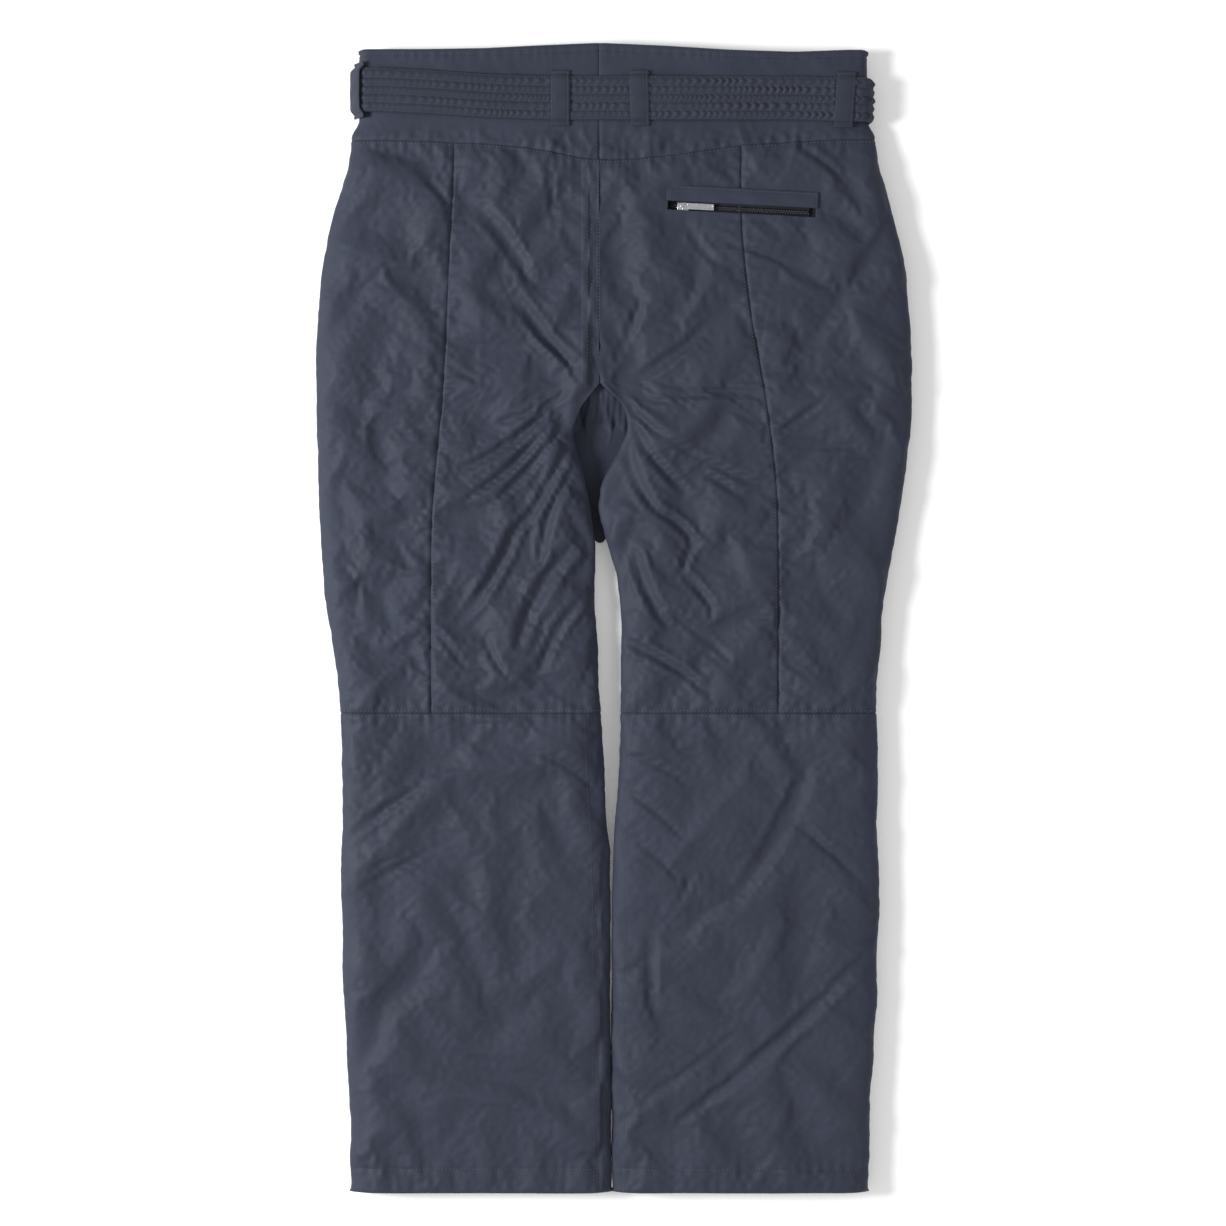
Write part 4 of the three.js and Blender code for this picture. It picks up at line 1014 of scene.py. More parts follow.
def cloth_material(name, dark, light, roughness=(0.6, 0.74), weave=0.45, crinkle=1.0, sheen=0.03):
    """Plain-woven cloth: fine weave, small crinkles, slight change of colour and of gloss."""
    m = Nodes(name)
    place = m.add("Attribute", attribute_name="cloth").outputs["Vector"]
    broad = m.add("TexNoise", Scale=14.0, Detail=4.0, Roughness=0.6)
    fine = m.add("TexNoise", Scale=240.0, Detail=3.0, Roughness=0.7)
    crease = m.add("TexNoise", Scale=95.0, Detail=3.0, Roughness=0.62, noise_type="RIDGED_MULTIFRACTAL")
    for node in (broad, fine, crease):
        m.link(place, node.inputs["Vector"])
    both = m.math("ADD", m.math("MULTIPLY", broad.outputs[0], 0.7), m.math("MULTIPLY", fine.outputs[0], 0.3))
    m.link(m.ramp(both, 0.36, 0.64, (*dark, 1), (*light, 1)), m.shader.inputs["Base Color"])
    gloss = m.add("MapRange", From_Min=0.3, From_Max=0.7, To_Min=roughness[0], To_Max=roughness[1])
    m.link(broad.outputs[0], gloss.inputs[0])
    m.link(gloss.outputs[0], m.shader.inputs["Roughness"])
    threads = []
    for angle in (0, 90):
        wave = m.add("TexWave", Scale=1000 / weave / 20, Distortion=0.4, Detail=1.0)
        turn = m.add("Mapping")
        turn.inputs["Rotation"].default_value = (0, 0, math.radians(angle))
        m.link(place, turn.inputs["Vector"])
        m.link(turn.outputs[0], wave.inputs["Vector"])
        threads.append(wave.outputs["Fac"])
    woven = m.math("MAXIMUM", *threads)
    bump_crease = m.add("Bump", Strength=0.35 * crinkle, Distance=0.0009)
    bump_weave = m.add("Bump", Strength=0.25, Distance=0.00012)
    m.link(crease.outputs[0], bump_crease.inputs["Height"])
    m.link(woven, bump_weave.inputs["Height"])
    m.link(bump_crease.outputs[0], bump_weave.inputs["Normal"])
    m.link(bump_weave.outputs[0], m.shader.inputs["Normal"])
    m.set(Sheen_Weight=sheen, Sheen_Roughness=0.5, Specular_IOR_Level=0.19)
    return m.material


def plain_material(name, colour, roughness, metallic=0.0, grain=0.3):
    """Moulded plastic or plated metal, with fine handling marks."""
    m = Nodes(name)
    place = m.add("TexCoord").outputs["Object"]
    marks = m.add("TexNoise", Scale=420.0, Detail=5.0, Roughness=0.7)
    m.link(place, marks.inputs["Vector"])
    spread = m.add("MapRange", From_Min=0.35, From_Max=0.7, To_Min=roughness * 0.75, To_Max=roughness * 1.35)
    m.link(marks.outputs[0], spread.inputs[0])
    m.link(spread.outputs[0], m.shader.inputs["Roughness"])
    dull = tuple(c * 0.86 for c in colour)
    m.link(m.ramp(marks.outputs[0], 0.4, 0.6, (*dull, 1), (*colour, 1)), m.shader.inputs["Base Color"])
    bump = m.add("Bump", Strength=grain, Distance=0.0001)
    m.link(marks.outputs[0], bump.inputs["Height"])
    m.link(bump.outputs[0], m.shader.inputs["Normal"])
    m.set(Metallic=metallic)
    return m.material


SHELL_CLOTH = cloth_material(
    "shell_taffeta", (0.0215, 0.0255, 0.0415), (0.0285, 0.0335, 0.0525), (0.58, 0.72)
)
BELT_CLOTH = cloth_material(
    "belt_taffeta", (0.0195, 0.0230, 0.0365), (0.0250, 0.0295, 0.0450), (0.58, 0.72), crinkle=0.8
)
LINING_CLOTH = cloth_material(
    "lining_taffeta", (0.016, 0.018, 0.026), (0.024, 0.027, 0.037), (0.32, 0.5), crinkle=0.6
)
POCKET_CLOTH = cloth_material("pocket_cloth", (0.03, 0.033, 0.045), (0.04, 0.044, 0.058), (0.7, 0.85), 0.7)
ELASTIC = cloth_material("ribbed_elastic", (0.014, 0.015, 0.02), (0.024, 0.026, 0.033), (0.75, 0.9), 1.6)
TAPE = cloth_material("zip_tape_weave", (0.010, 0.011, 0.016), (0.018, 0.02, 0.027), (0.7, 0.85), 0.9, 0.4)
THREAD = cloth_material(
    "sewing_thread", (0.022, 0.026, 0.038), (0.034, 0.04, 0.056), (0.5, 0.65), 0.5, 0.3, 0.3
)
METAL = plain_material("plated_metal", (0.62, 0.63, 0.65), 0.24, 1.0)
SNAP_METAL = plain_material("satin_steel", (0.46, 0.47, 0.49), 0.34, 1.0)
PLASTIC = plain_material("moulded_acetal", (0.018, 0.02, 0.025), 0.42)


def finish(piece, material, slot, body, *nodes, padding=None, bends=False):
    """Gives a piece its material and body, and hides the CAD nodes that it stands for; its slot is not used.

    A piece that bends gets no body: its place is only baked into its mesh.
    """
    piece.data.materials.clear()
    piece.data.materials.append(material)
    if bends:
        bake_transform(piece)
    else:
        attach(piece, body)
    if nodes:
        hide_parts(*nodes)
    return piece


# ---- Shell ----------------------------------------------------------------------------------------


def panel_edges(side):
    """A half's outer and inner edge, and a helper that puts two things for them from left to right."""
    outer, inner = side_edge[side], lambda y: middle_edge(side, y)
    return (lambda a, b: (a, b)) if side == "left" else (lambda a, b: (b, a)), outer, inner


shell = {}


def build_shell():
    seam_top = lambda x: belt_low(x) + 3
    for side in SIDES:
        across, outer, inner = panel_edges(side)
        seam, wave, inner_wave = princess[side], side, "inner_" + side
        specs = [
            (f"yoke_{side}", BACK, outer, inner, yoke_seam, seam_top, wave, None),
            (f"back_{side}", BACK, seam, inner, KNEE_Y, yoke_seam, None, inner_wave),
            (f"side_{side}", BACK, outer, seam, KNEE_Y, yoke_seam, wave, None),
            (f"front_{side}", FRONT, outer, inner, KNEE_Y, seam_top, wave, inner_wave),
            (f"lower_back_{side}", BACK, outer, inner, HEM_Y, KNEE_Y, wave, inner_wave),
            (f"lower_front_{side}", FRONT, outer, inner, HEM_Y, KNEE_Y, wave, inner_wave),
        ]
        for node, face, far, near, low, high, far_wave, near_wave in specs:
            edges = across(far, near)
            waves = across(far_wave, near_wave)
            lower = node.startswith("lower")
            shell[node] = panel(side, face, *edges, low, high, *waves, hem=lower)
            piece = shell[node].build(node + "_cloth")
            body = f"shin_{side}" if lower else "root"
            finish(piece, SHELL_CLOTH, "shell", body, node, padding=0.35, bends=lower)


build_shell()

# ---- Gusset between the legs ----------------------------------------------------------------------


def build_gusset():
    """Loose cloth bunched between the tops of the legs: soft pleats that hang from the crotch seam."""
    low, high = 66.0, CROTCH_Y + 2
    rows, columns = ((80, 56))
    V, U = np.meshgrid(np.linspace(0, 1, rows + 1), np.linspace(0, 1, columns + 1), indexing="ij")
    Y = mix(low + 22 * (2 * U - 1) ** 2, high, V)
    left, right = inner_edge["left"](Y) - 9, inner_edge["right"](Y) + 9
    X = mix(left, right, U)
    fan = (X - CENTRE_X) / (0.45 + 0.55 * smooth(high, low, Y))
    wander = 0.9 * np.sin(Y / 17 + 0.6) + 0.5 * np.sin(Y / 7.5 + fan / 9)
    pleats = 3.4 * np.abs(np.sin(fan * math.pi / 31 + 0.7 + wander)) ** 1.6
    pleats += 0.9 * np.sin(fan / 4.1 + Y / 13 + 1.7 * wander) + 0.35 * np.sin(fan / 1.7 - Y / 6 + wander)
    sag = 19 * smooth(high - 6, high - 48, Y) - 2.2 * smooth(high - 26, high, Y)
    calmer = mix(1, 0.6, smooth(high - 50, high - 110, Y))
    Z = MIDDLE + 4.2 - sag + pleats * smooth(high, high - 16, Y) * calmer
    Z = np.clip(Z, 2.2, MIDDLE + 7.5)
    outer = np.stack([X, Y, Z], axis=2)
    inner = outer.copy()
    inner[..., 2] -= 1.6
    distances = [U * 60, (1 - U) * 60, V * 120, (1 - V) * 120]
    made = Panel(outer, inner, 2, 1, outer, *distances)
    piece = made.build("crotch_gusset_cloth")
    finish(piece, SHELL_CLOTH, "shell", "root", "crotch_gusset", padding=0.1)


# ---- Waistband, belt and loops --------------------------------------------------------------------

BAND_THICK = 3.8
BAND_FREE = (0, 0, 0, 1)  # only its top edge rounds off
BAND_AWAY = WAIST_HALF - BAND_THICK / 2
FRONT_BAND_AWAY = BAND_AWAY - 1.3  # the front is pressed flat by the belt and buckle
BELT_THICK = 2.4
BELT_AWAY = cad_box("belt_back")[1][2] - MIDDLE - BELT_THICK / 2
BELT_TURN = cad_box("belt_back")[1][0] - BELT_THICK / 2 - BELT_AWAY
BELT_FRONT_Z = MIDDLE - BELT_AWAY
FRONT_TOP_Y = cad_box("waistband_front_left")[1][1]


def belt_middle(x):
    return (belt_low(x) + belt_high(x)) / 2


def side_turn(side, away, start, stop, count=14):
    """Points round a side edge, from `start` to `stop` degrees off the back."""
    turn = np.radians(np.linspace(start, stop, count))
    return np.stack([side * (BELT_TURN + away * np.sin(turn)), MIDDLE + away * np.cos(turn)], axis=1)


def band_shape(phase):
    """The relief of a waistband: a bound, topstitched rim along the top, and slight waves below it."""
    wave = rng.uniform(0, 6, 4)

    def shape(s, w, along):
        width = w.max()
        from_top = width - w
        rim = 0.7 * within(from_top, 0.6, 4.6, 0.5) - 0.6 * np.exp(-(((from_top - 5.6) / 0.7) ** 2))
        wide = 0.9 * np.sin(s / 21 + wave[0] + w / 25) * np.sin(w / 22 + wave[1] + s / 60)
        lean = s / 8.3 + w / 9 + 1.4 * np.sin(s / 37 + wave[3]) + wave[2]
        wide = wide + 0.55 * np.maximum(0, np.sin(lean)) ** 2 * (0.5 + 0.5 * np.sin(s / 29 + wave[1]))
        pucker = np.interp(s.ravel() + phase, PUCKER_AT + 700, PUCKER_WAVE).reshape(s.shape)
        fine = 0.28 * pucker * np.exp(-np.abs(from_top - 6) / 4)
        seam = 0.5 * np.exp(-(((along - CENTRE_X) / 0.9) ** 2)) + 0.35 * np.exp(-np.abs(along - CENTRE_X) / 4)
        return rim + fine + wide * smooth(0, 8, w) * smooth(0, 7, from_top) - seam

    return shape


def band_piece(name, path, low, high, phase, *nodes):
    made = ribbon(path, low, high, BAND_THICK, band_shape(phase), free=BAND_FREE)
    finish(made.build(name + "_cloth"), SHELL_CLOTH, "shell", "root", *nodes, padding=0.3)
    return made


def tab_shape(s, w, along):
    return 0.05 * np.sin(s / 4 + w / 6)


def build_waistband():
    back_low = lambda x: belt_low(x) + 3.3
    front_low, front_high = straight(WAIST_SEAM_Y), straight(FRONT_TOP_Y)
    for side, sign in (("left", -1), ("right", 1)):
        name = f"waistband_back_{side}"
        turn = side_turn(sign, BAND_AWAY, 84, 0)
        path = np.concatenate([turn, [[CENTRE_X - sign * 0.25, MIDDLE + BAND_AWAY]]])[::-sign]
        made = band_piece(name, path, back_low, waist_top, 31 * sign, name)
        stitch_line(*made.line("high", 5.6))
        turn = side_turn(sign, FRONT_BAND_AWAY, 96, 180)
        end = CENTRE_X + (0.35 if sign < 0 else 38)
        path = np.concatenate([turn, [[end, MIDDLE - FRONT_BAND_AWAY]]])[::sign]
        band_piece(f"waistband_front_{side}", path, front_low, front_high, 77 * sign)
    # the tab of the left half lies over the right half's underlap
    for name, low_x, high_x, above, node in (
        ("waist_tab", CENTRE_X - 1, CENTRE_X + 37.5, 1.0, "waistband_front_left"),
        ("waist_underlap", CENTRE_X + 2, CENTRE_X + 46, 4.1, "waistband_front_right"),
    ):
        z = MIDDLE - WAIST_HALF + above
        edges = straight(WAIST_SEAM_Y + 2), straight(FRONT_TOP_Y - 2)
        made = ribbon([[high_x, z], [low_x, z]], *edges, 1.2, tab_shape)
        finish(made.build(name), SHELL_CLOTH, "shell", "root", node, padding=0.1)


QUILT_ROWS = 5
BELT_WIDTH = 39.0
BELT_RIM = 1.5  # from each edge of the belt to its first row of stitches
CHANNEL = (BELT_WIDTH - 2 * BELT_RIM) / QUILT_ROWS


def belt_shape(s, w, along):
    """Quilting: soft channels between rows of stitches, with slanting puckers, flatter under the loops."""
    place = (w - BELT_RIM) / CHANNEL
    ridge = np.abs(np.sin(math.pi * np.clip(place, 0, QUILT_ROWS))) ** 0.7
    row = np.floor(place)
    lively = 0.6 + 0.5 * smooth(20, 110, along) - 0.3 * smooth(-60, -190, along)
    spacing = 6.2 + 1.6 * np.sin(row * 2.1)
    slant = np.abs(((w - BELT_RIM) % CHANNEL) - CHANNEL / 2) * (0.9 + 0.5 * np.sin(row * 3.3))
    wander = 2.6 * np.sin(s / 17 + row * 1.9) + 1.3 * np.sin(s / 7.3 + row)
    crease = np.cos(2 * math.pi * (s + slant + wander) / spacing)
    crease = np.sign(crease) * np.abs(crease) ** 0.8
    gate = 0.5 + 0.5 * np.sin(s / 23 + row * 2.7)
    wave = 0.9 * np.sin(s / 33 + 0.5) * np.sin(w / 16) * lively
    return 1.7 * ridge + (1.0 * crease * lively * (0.3 + 0.7 * gate)) * ridge + wave


def build_belt():
    socket = cad_box("buckle_socket")[0][0]
    front = [[socket - 0.4, BELT_FRONT_Z]]
    left = side_turn(-1, BELT_AWAY, 180, 0, 26)
    right = side_turn(1, BELT_AWAY, 0, 150, 20)
    path = np.concatenate([front, left, right])
    made = ribbon(path, belt_low, belt_high, BELT_THICK, belt_shape, step=1.15)
    piece = made.build("belt_cloth")
    finish(piece, BELT_CLOTH, "belt", "root", "belt_back", "belt_front_left", padding=0.4)
    for row in range(QUILT_ROWS + 1):
        stitch_line(*made.line("low", BELT_RIM + CHANNEL * row), length=1.9, pitch=2.7)
    low, high = cad_box("belt_front_right")
    path = [[high[0], BELT_FRONT_Z], [low[0], BELT_FRONT_Z]]
    made = ribbon(path, belt_low, belt_high, BELT_THICK, belt_shape)
    piece = made.build("belt_end_cloth")
    finish(piece, BELT_CLOTH, "belt", "belt_clasp", "belt_front_right", padding=0.4)


LOOP_WIDE = 17.0
LOOP_THICK = 1.7
LOOP_STITCH = 2.2  # from each long edge of a loop to its stitches


def build_loops():
    """Each loop bridges the belt: stitched down at both ends, and lying over the belt between."""
    for node in ("back_left", "back_right", "side_left", "side_right", "front_left", "front_right"):
        low, high = cad_box("loop_" + node)
        face = FRONT if node.startswith("front") else BACK
        turn = math.radians(58) if node == "side_left" else 0.0
        x = -BELT_TURN if turn else (low[0] + high[0]) / 2
        middle = float(belt_middle(np.array(x)))
        reach = BELT_WIDTH / 2 + 5
        over = BELT_AWAY + BELT_THICK / 2 + LOOP_THICK / 2 + 1.3
        rest = WAIST_HALF + LOOP_THICK / 2 + 0.4
        below = half_height(middle - reach) + LOOP_THICK / 2 + 0.4 if not turn else rest
        profile = [(-reach, below), (4 - reach, below), (5.8 - reach, (below + over) / 2)]
        profile += [(8 - reach, over - 0.3), (0, over), (reach - 8, over - 0.3)]
        profile += [(reach - 5.8, (rest + over) / 2), (reach - 4, rest), (reach, rest)]
        lean = 0.07 if node == "side_right" else rng.uniform(-0.02, 0.02)

        def place(points, x=x, middle=middle, face=face, turn=turn, lean=lean):
            along, across, away = points[..., 0], points[..., 1] * -1, points[..., 2] * face
            across = across + lean * along
            if face == FRONT:
                across = -across
            c, s = math.cos(turn), math.sin(turn)
            plan_x = x + across * c - away * s
            return np.stack([plan_x, middle + along, MIDDLE + across * s + away * c], axis=2)

        def shape(s, w, along):
            groove = np.exp(-(((w - LOOP_STITCH) / 0.7) ** 2))
            groove = groove + np.exp(-(((w - LOOP_WIDE + LOOP_STITCH) / 0.7) ** 2))
            bars = np.exp(-(((s - 3.0) / 0.8) ** 2)) + np.exp(-(((s.max() - s - 3.0) / 0.8) ** 2))
            between = np.clip((w - LOOP_STITCH) / (LOOP_WIDE - 2 * LOOP_STITCH), 0, 1)
            puffed = 0.35 * np.sin(math.pi * between)
            return puffed - 0.3 * groove - 0.35 * bars + 0.12 * np.sin(s / 2.6 + w / 3)

        edges = straight(-LOOP_WIDE / 2), straight(LOOP_WIDE / 2)
        made = ribbon(profile, *edges, LOOP_THICK, shape, step=0.9, place=place)
        piece = made.build(f"loop_{node}_cloth")
        finish(piece, BELT_CLOTH, "belt", "root", "loop_" + node, padding=0.2)
        for edge in ("low", "high"):
            stitch_line(*made.line(edge, LOOP_STITCH), length=1.7, pitch=2.5)


# ---- Stitches -------------------------------------------------------------------------------------

_stitches = {}
STITCH_BOW = np.array([-0.35, 0.02, 0.12, 0.02, -0.35])  # a stitch's height over the cloth, along it
SEAM_STITCH = 2.2  # from a seam to the row of stitches beside it
CENTRE_STITCHES = (2.4, 15.0)  # the two rows beside the centre back seam
INSEAM_STITCH = {"left": 21, "right": 16}


def stitch_line(points, normals, length=None, pitch=None, body="root"):
    """Plans a row of stitches along a line on a cloth."""
    length, pitch = length or STITCH["length"], pitch or STITCH["pitch"]
    run = np.concatenate([[0], np.cumsum(np.linalg.norm(np.diff(points, axis=0), axis=1))])
    for start in np.arange(0.5, run[-1] - length, pitch):
        at = start + np.array([0, 0.25, 0.5, 0.75, 1]) * length
        place = np.stack([np.interp(at, run, points[:, k]) for k in range(3)], axis=1)
        out = np.stack([np.interp(at, run, normals[:, k]) for k in range(3)], axis=1)
        _stitches.setdefault(body, []).append(place + out * STITCH_BOW[:, None])


def build_stitches():
    """Each stitch is a short, slightly bowed thread."""
    radius = STITCH["radius"] * np.array([0.55, 1, 1.05, 1, 0.55])
    for body, lines in _stitches.items():
        piece = thin_rods(f"stitches_{body}", lines, radius, 6)
        finish(piece, THREAD, "shell", body, bends=body.startswith("shin"))


def plan_shell_stitches():
    for side in SIDES:
        near, far = ("right", "left") if side == "left" else ("left", "right")
        stitch_line(*shell[f"back_{side}"].line(far, SEAM_STITCH))
        for edge in ("high", "low"):
            for name in ("back", "side"):
                stitch_line(*shell[f"{name}_{side}"].line(edge, SEAM_STITCH))
        shin = f"shin_{side}"
        for face in ("back", "front"):
            stitch_line(*shell[f"lower_{face}_{side}"].line("low", HEM_DEPTH, 14), body=shin)
        lower = shell[f"lower_back_{side}"]
        stitch_line(*lower.line("high", SEAM_STITCH, 14), body=shin)
        stitch_line(*lower.line(near, INSEAM_STITCH[side]), body=shin)
    for distance in CENTRE_STITCHES:
        points, normals = shell["back_left"].line("right", distance)
        above = points[:, 1] > CROTCH_Y - 4
        stitch_line(points[above], normals[above])
    for distance in CENTRE_STITCHES:
        stitch_line(*shell["yoke_left"].line("right", distance))


# ---- Zips, pockets and hardware -------------------------------------------------------------------

JOINTS = {joint["name"]: joint for joint in frame["joints"]}


class Along:
    """A zip's own frame: x along it, y across it and z out of the garment, from its middle."""

    def __init__(self, name, face):
        self.x = np.array(JOINTS[name + "_zip_slide"]["axis"], float)
        self.x /= np.linalg.norm(self.x)
        self.z = np.array([0, 0, float(face)])
        self.y = np.cross(self.z, self.x)
        self.origin = np.zeros(3)
        low, high = self.box(name + "_zip")
        self.length = high[0] - low[0]
        self.tape_z = low[2] - high[2]
        centre = (low + high) / 2
        self.origin = centre[0] * self.x + centre[1] * self.y + high[2] * self.z

    def box(self, node):
        """The lowest and highest corner of a CAD node in this frame."""
        points = np.concatenate(node_edges(node)) - self.origin
        local = points @ np.stack([self.x, self.y, self.z], axis=1)
        return local.min(axis=0), local.max(axis=0)

    def place(self, points):
        return self.origin + points[..., :1] * self.x + points[..., 1:2] * self.y + points[..., 2:] * self.z


def thin_rods(name, lines, radius, sides=8):
    """Small round-ended rods: lines is (count, levels, 3), with a radius for each level."""
    lines = np.array(lines)
    count, levels = lines.shape[:2]
    along = lines[:, -1] - lines[:, 0]
    along /= np.linalg.norm(along, axis=1, keepdims=True)
    up = np.cross(along, np.where(np.abs(along[:, 2:]) > 0.9, [[1.0, 0, 0]], [[0, 0, 1.0]]))
    up /= np.linalg.norm(up, axis=1, keepdims=True)
    side = np.cross(along, up)
    turn = np.arange(sides) * 2 * math.pi / sides
    ring = up[:, None] * np.cos(turn)[None, :, None] + side[:, None] * np.sin(turn)[None, :, None]
    points = lines[:, :, None] + ring[:, None] * np.asarray(radius)[None, :, None, None]
    first = np.arange(count)[:, None, None] * levels * sides
    level = np.arange(levels - 1)[None, :, None] * sides
    k = np.arange(sides)[None, None, :]
    a, b = first + level + k, first + level + (k + 1) % sides
    quads = np.stack([a, a + sides, b + sides, b], axis=-1).reshape(-1, 4)
    caps = []
    for start, flip in ((0, False), ((levels - 1) * sides, True)):
        base = np.arange(count) * levels * sides + start
        for i in range(1, sides - 1):
            tri = np.stack([base, base + i, base + i + 1], axis=1)
            caps.append(tri[:, ::-1] if flip else tri)
    flat = points.reshape(-1, 3)
    return make_mesh(name, flat, quads, np.concatenate(caps), None, flat)


def rounded_copy(node, material, slot, body, bevel=0.18, segments=2):
    """A hard CAD piece with its edges broken, as moulding, casting and plating leave them."""
    mesh = frame["nodes"][node].data.copy()
    bm = bmesh.new()
    bm.from_mesh(mesh)
    bmesh.ops.remove_doubles(bm, verts=bm.verts, dist=1e-6)
    bmesh.ops.dissolve_limit(bm, angle_limit=math.radians(1), verts=bm.verts, edges=bm.edges)
    sharp = [e for e in bm.edges if len(e.link_faces) == 2 and e.calc_face_angle() > math.radians(35)]
    bmesh.ops.bevel(
        bm, geom=sharp, offset=bevel * MM, segments=segments, profile=0.6, affect="EDGES", clamp_overlap=True
    )
    bmesh.ops.triangulate(bm, faces=[f for f in bm.faces if len(f.verts) > 4])
    for face in bm.faces:
        face.smooth = True
    bm.to_mesh(mesh)
    bm.free()
    mesh.set_sharp_from_angle(angle=math.radians(32))
    finish(linked(node + "_rounded", mesh), material, slot, body, node)


TAPE_HALF = 9.8
TAPE_THICK = 0.5
TOOTH_PITCH = 0.72
TOOTH_ACROSS = np.array([-0.35, -0.1, 0.9, 1.9, 2.15])
TOOTH_UP = -0.62 + np.array([-0.12, 0.05, 0.1, 0.02, -0.2])
TOOTH_RADII = [0.2, 0.42, 0.44, 0.4, 0.2]


def tape_shape(s, w, along):
    """Fine ribs, and a ridge on each side of the coil."""
    ridges = np.exp(-((np.abs(w - TAPE_HALF) - 3) ** 2))
    return 0.05 * np.cos(w * 2 * math.pi / 1.6) + 0.12 * ridges


def build_zip(name, face):
    """A zip's tape and coil, with its slider and pull, and the zip's own frame."""
    frame_of = Along(name, face)
    half = frame_of.length / 2
    z = frame_of.tape_z + TAPE_THICK / 2
    edges = straight(-TAPE_HALF), straight(TAPE_HALF)
    made = ribbon([[-half, z], [half, z]], *edges, TAPE_THICK, tape_shape, place=frame_of.place)
    tape = finish(made.build(name + "_zip_tape"), TAPE, "zip_tape", "root", name + "_zip")
    teeth = []
    for i, x in enumerate(np.arange(-half + 1.5, half - 1.5, TOOTH_PITCH)):
        side = 1 if i % 2 else -1
        tooth = np.stack([np.full(5, x), side * TOOTH_ACROSS, TOOTH_UP], axis=1)
        teeth.append(frame_of.place(tooth))
    coil = thin_rods(name + "_zip_coil", teeth, TOOTH_RADII)
    finish(coil, PLASTIC, "zip_tape", "root")
    rounded_copy(name + "_slider", METAL, "zip_metal", name + "_slider", 0.22)
    rounded_copy(name + "_pull", METAL, "zip_metal", name + "_pull", 0.2)
    return frame_of


def cut_slot(piece, frame_of, x0, x1, y0, y1):
    """Cuts a straight opening through a piece of cloth, in a zip's own frame."""
    corners = [(x, y, z) for x in (x0, x1) for y in (y0, y1) for z in (-9.0, 14.0)]
    points = frame_of.place(np.array(corners))
    faces = [(0, 1, 3, 2), (4, 6, 7, 5), (0, 4, 5, 1), (2, 3, 7, 6), (0, 2, 6, 4), (1, 5, 7, 3)]
    cutter = make_mesh("slot", points, faces, on_floor=False)
    bm = bmesh.new()
    bm.from_mesh(cutter.data)
    bmesh.ops.recalc_face_normals(bm, faces=bm.faces)
    bm.to_mesh(cutter.data)
    bm.free()
    modifier = piece.modifiers.new("slot", "BOOLEAN")
    modifier.operation, modifier.object, modifier.solver = "DIFFERENCE", cutter, "EXACT"
    graph = bpy.context.evaluated_depsgraph_get()
    made = bpy.data.meshes.new_from_object(piece.evaluated_get(graph))
    piece.modifiers.clear()
    old, piece.data = piece.data, made
    bpy.data.meshes.remove(old)
    discard(cutter)


def flat_cloth(node, frame_of, material, slot, padding=None):
    """A flat piece of cloth that takes a CAD node's place in a zip's own frame.

    It is as thick as the node; the padding is not used.
    """
    low, high = frame_of.box(node)
    z = (low[2] + high[2]) / 2
    edges = straight(low[1]), straight(high[1])
    path = [[low[0], z], [high[0], z]]
    made = ribbon(path, *edges, high[2] - low[2], bag_shape, place=frame_of.place, step=2.4)
    piece = finish(made.build(node + "_cloth"), material, slot, "root", node, padding=padding)


def welt_shape(s, w, along):
    edge = np.minimum(np.minimum(s, s.max() - s), w.max() - w)
    groove = np.exp(-(((edge - 2.0) / 0.7) ** 2))
    return 0.35 + 0.3 * np.sin(math.pi * w / w.max()) - 0.55 * groove + 0.18 * np.sin(s / 6.1 + w / 4)


def bag_shape(s, w, along):
    return 0.22 * np.sin(s / 15 + w / 24) * np.sin(w / 19)


def build_back_pocket():
    back = build_zip("back_pocket", BACK)
    low, high = -back.length / 2 - 1.5, back.length / 2 + 4.5
    for node in ("back_right", "side_right"):
        cut_slot(bpy.data.objects[node + "_cloth"], back, low, high, -4.1, 6.0)
    a, b = back.box("back_pocket_welt")
    z = b[2] + 0.1
    path = [[min(a[0] - 1.2, low - 1.5), z], [max(b[0] + 1.2, high + 1.5), z]]
    edges = straight(a[1] - 1.5), straight(b[1] + 2.2)
    welt = ribbon(path, *edges, 2.2, welt_shape, place=back.place, step=0.8)
    piece = welt.build("back_pocket_welt_cloth")
    finish(piece, SHELL_CLOTH, "shell", "root", "back_pocket_welt", padding=0.2)
    for edge in ("high", "left", "right"):
        stitch_line(*welt.line(edge, 2.0, 1.0), length=1.7, pitch=2.5)
    flat_cloth("back_pocket_bag", back, POCKET_CLOTH, "pocket_bag")


def build_hand_pockets():
    for side in SIDES:
        name = "hand_pocket_" + side
        zip_frame = build_zip(name, FRONT)
        half = zip_frame.length / 2
        cut_slot(bpy.data.objects[f"front_{side}_cloth"], zip_frame, -half - 2, half + 2, -4.4, 4.4)
        bag = name + "_bag"
        flat_cloth(bag, zip_frame, POCKET_CLOTH, "pocket_bag")


def build_fly():
    fly = build_zip("fly", FRONT)
    cut_slot(bpy.data.objects["front_right_cloth"], fly, -200, fly.length / 2 + 4, -6.5, 6.5)
    flat_cloth("fly_guard", fly, SHELL_CLOTH, "shell", padding=0.1)


def build_hardware():
    for part, body in (("socket", "root"), ("button", "buckle_button"), ("tongue", "belt_clasp")):
        material, slot = (METAL, "snap_metal") if part == "button" else (PLASTIC, "buckle_plastic")
        rounded_copy("buckle_" + part, material, slot, body, 0.35 if part != "button" else 0.12, 3)
    for kind in ("cap", "stud"):
        for number in (1, 2):
            rounded_copy(f"snap_{kind}_{number}", SNAP_METAL, "snap_metal", "root", 0.14)


# ---- Linings, gaiters and elastics ----------------------------------------------------------------

LINING_LAYER = {"depth": 7.3, "tuck": 2.2, "thickness": 0.8, "coarse": True, "share": 0.35}


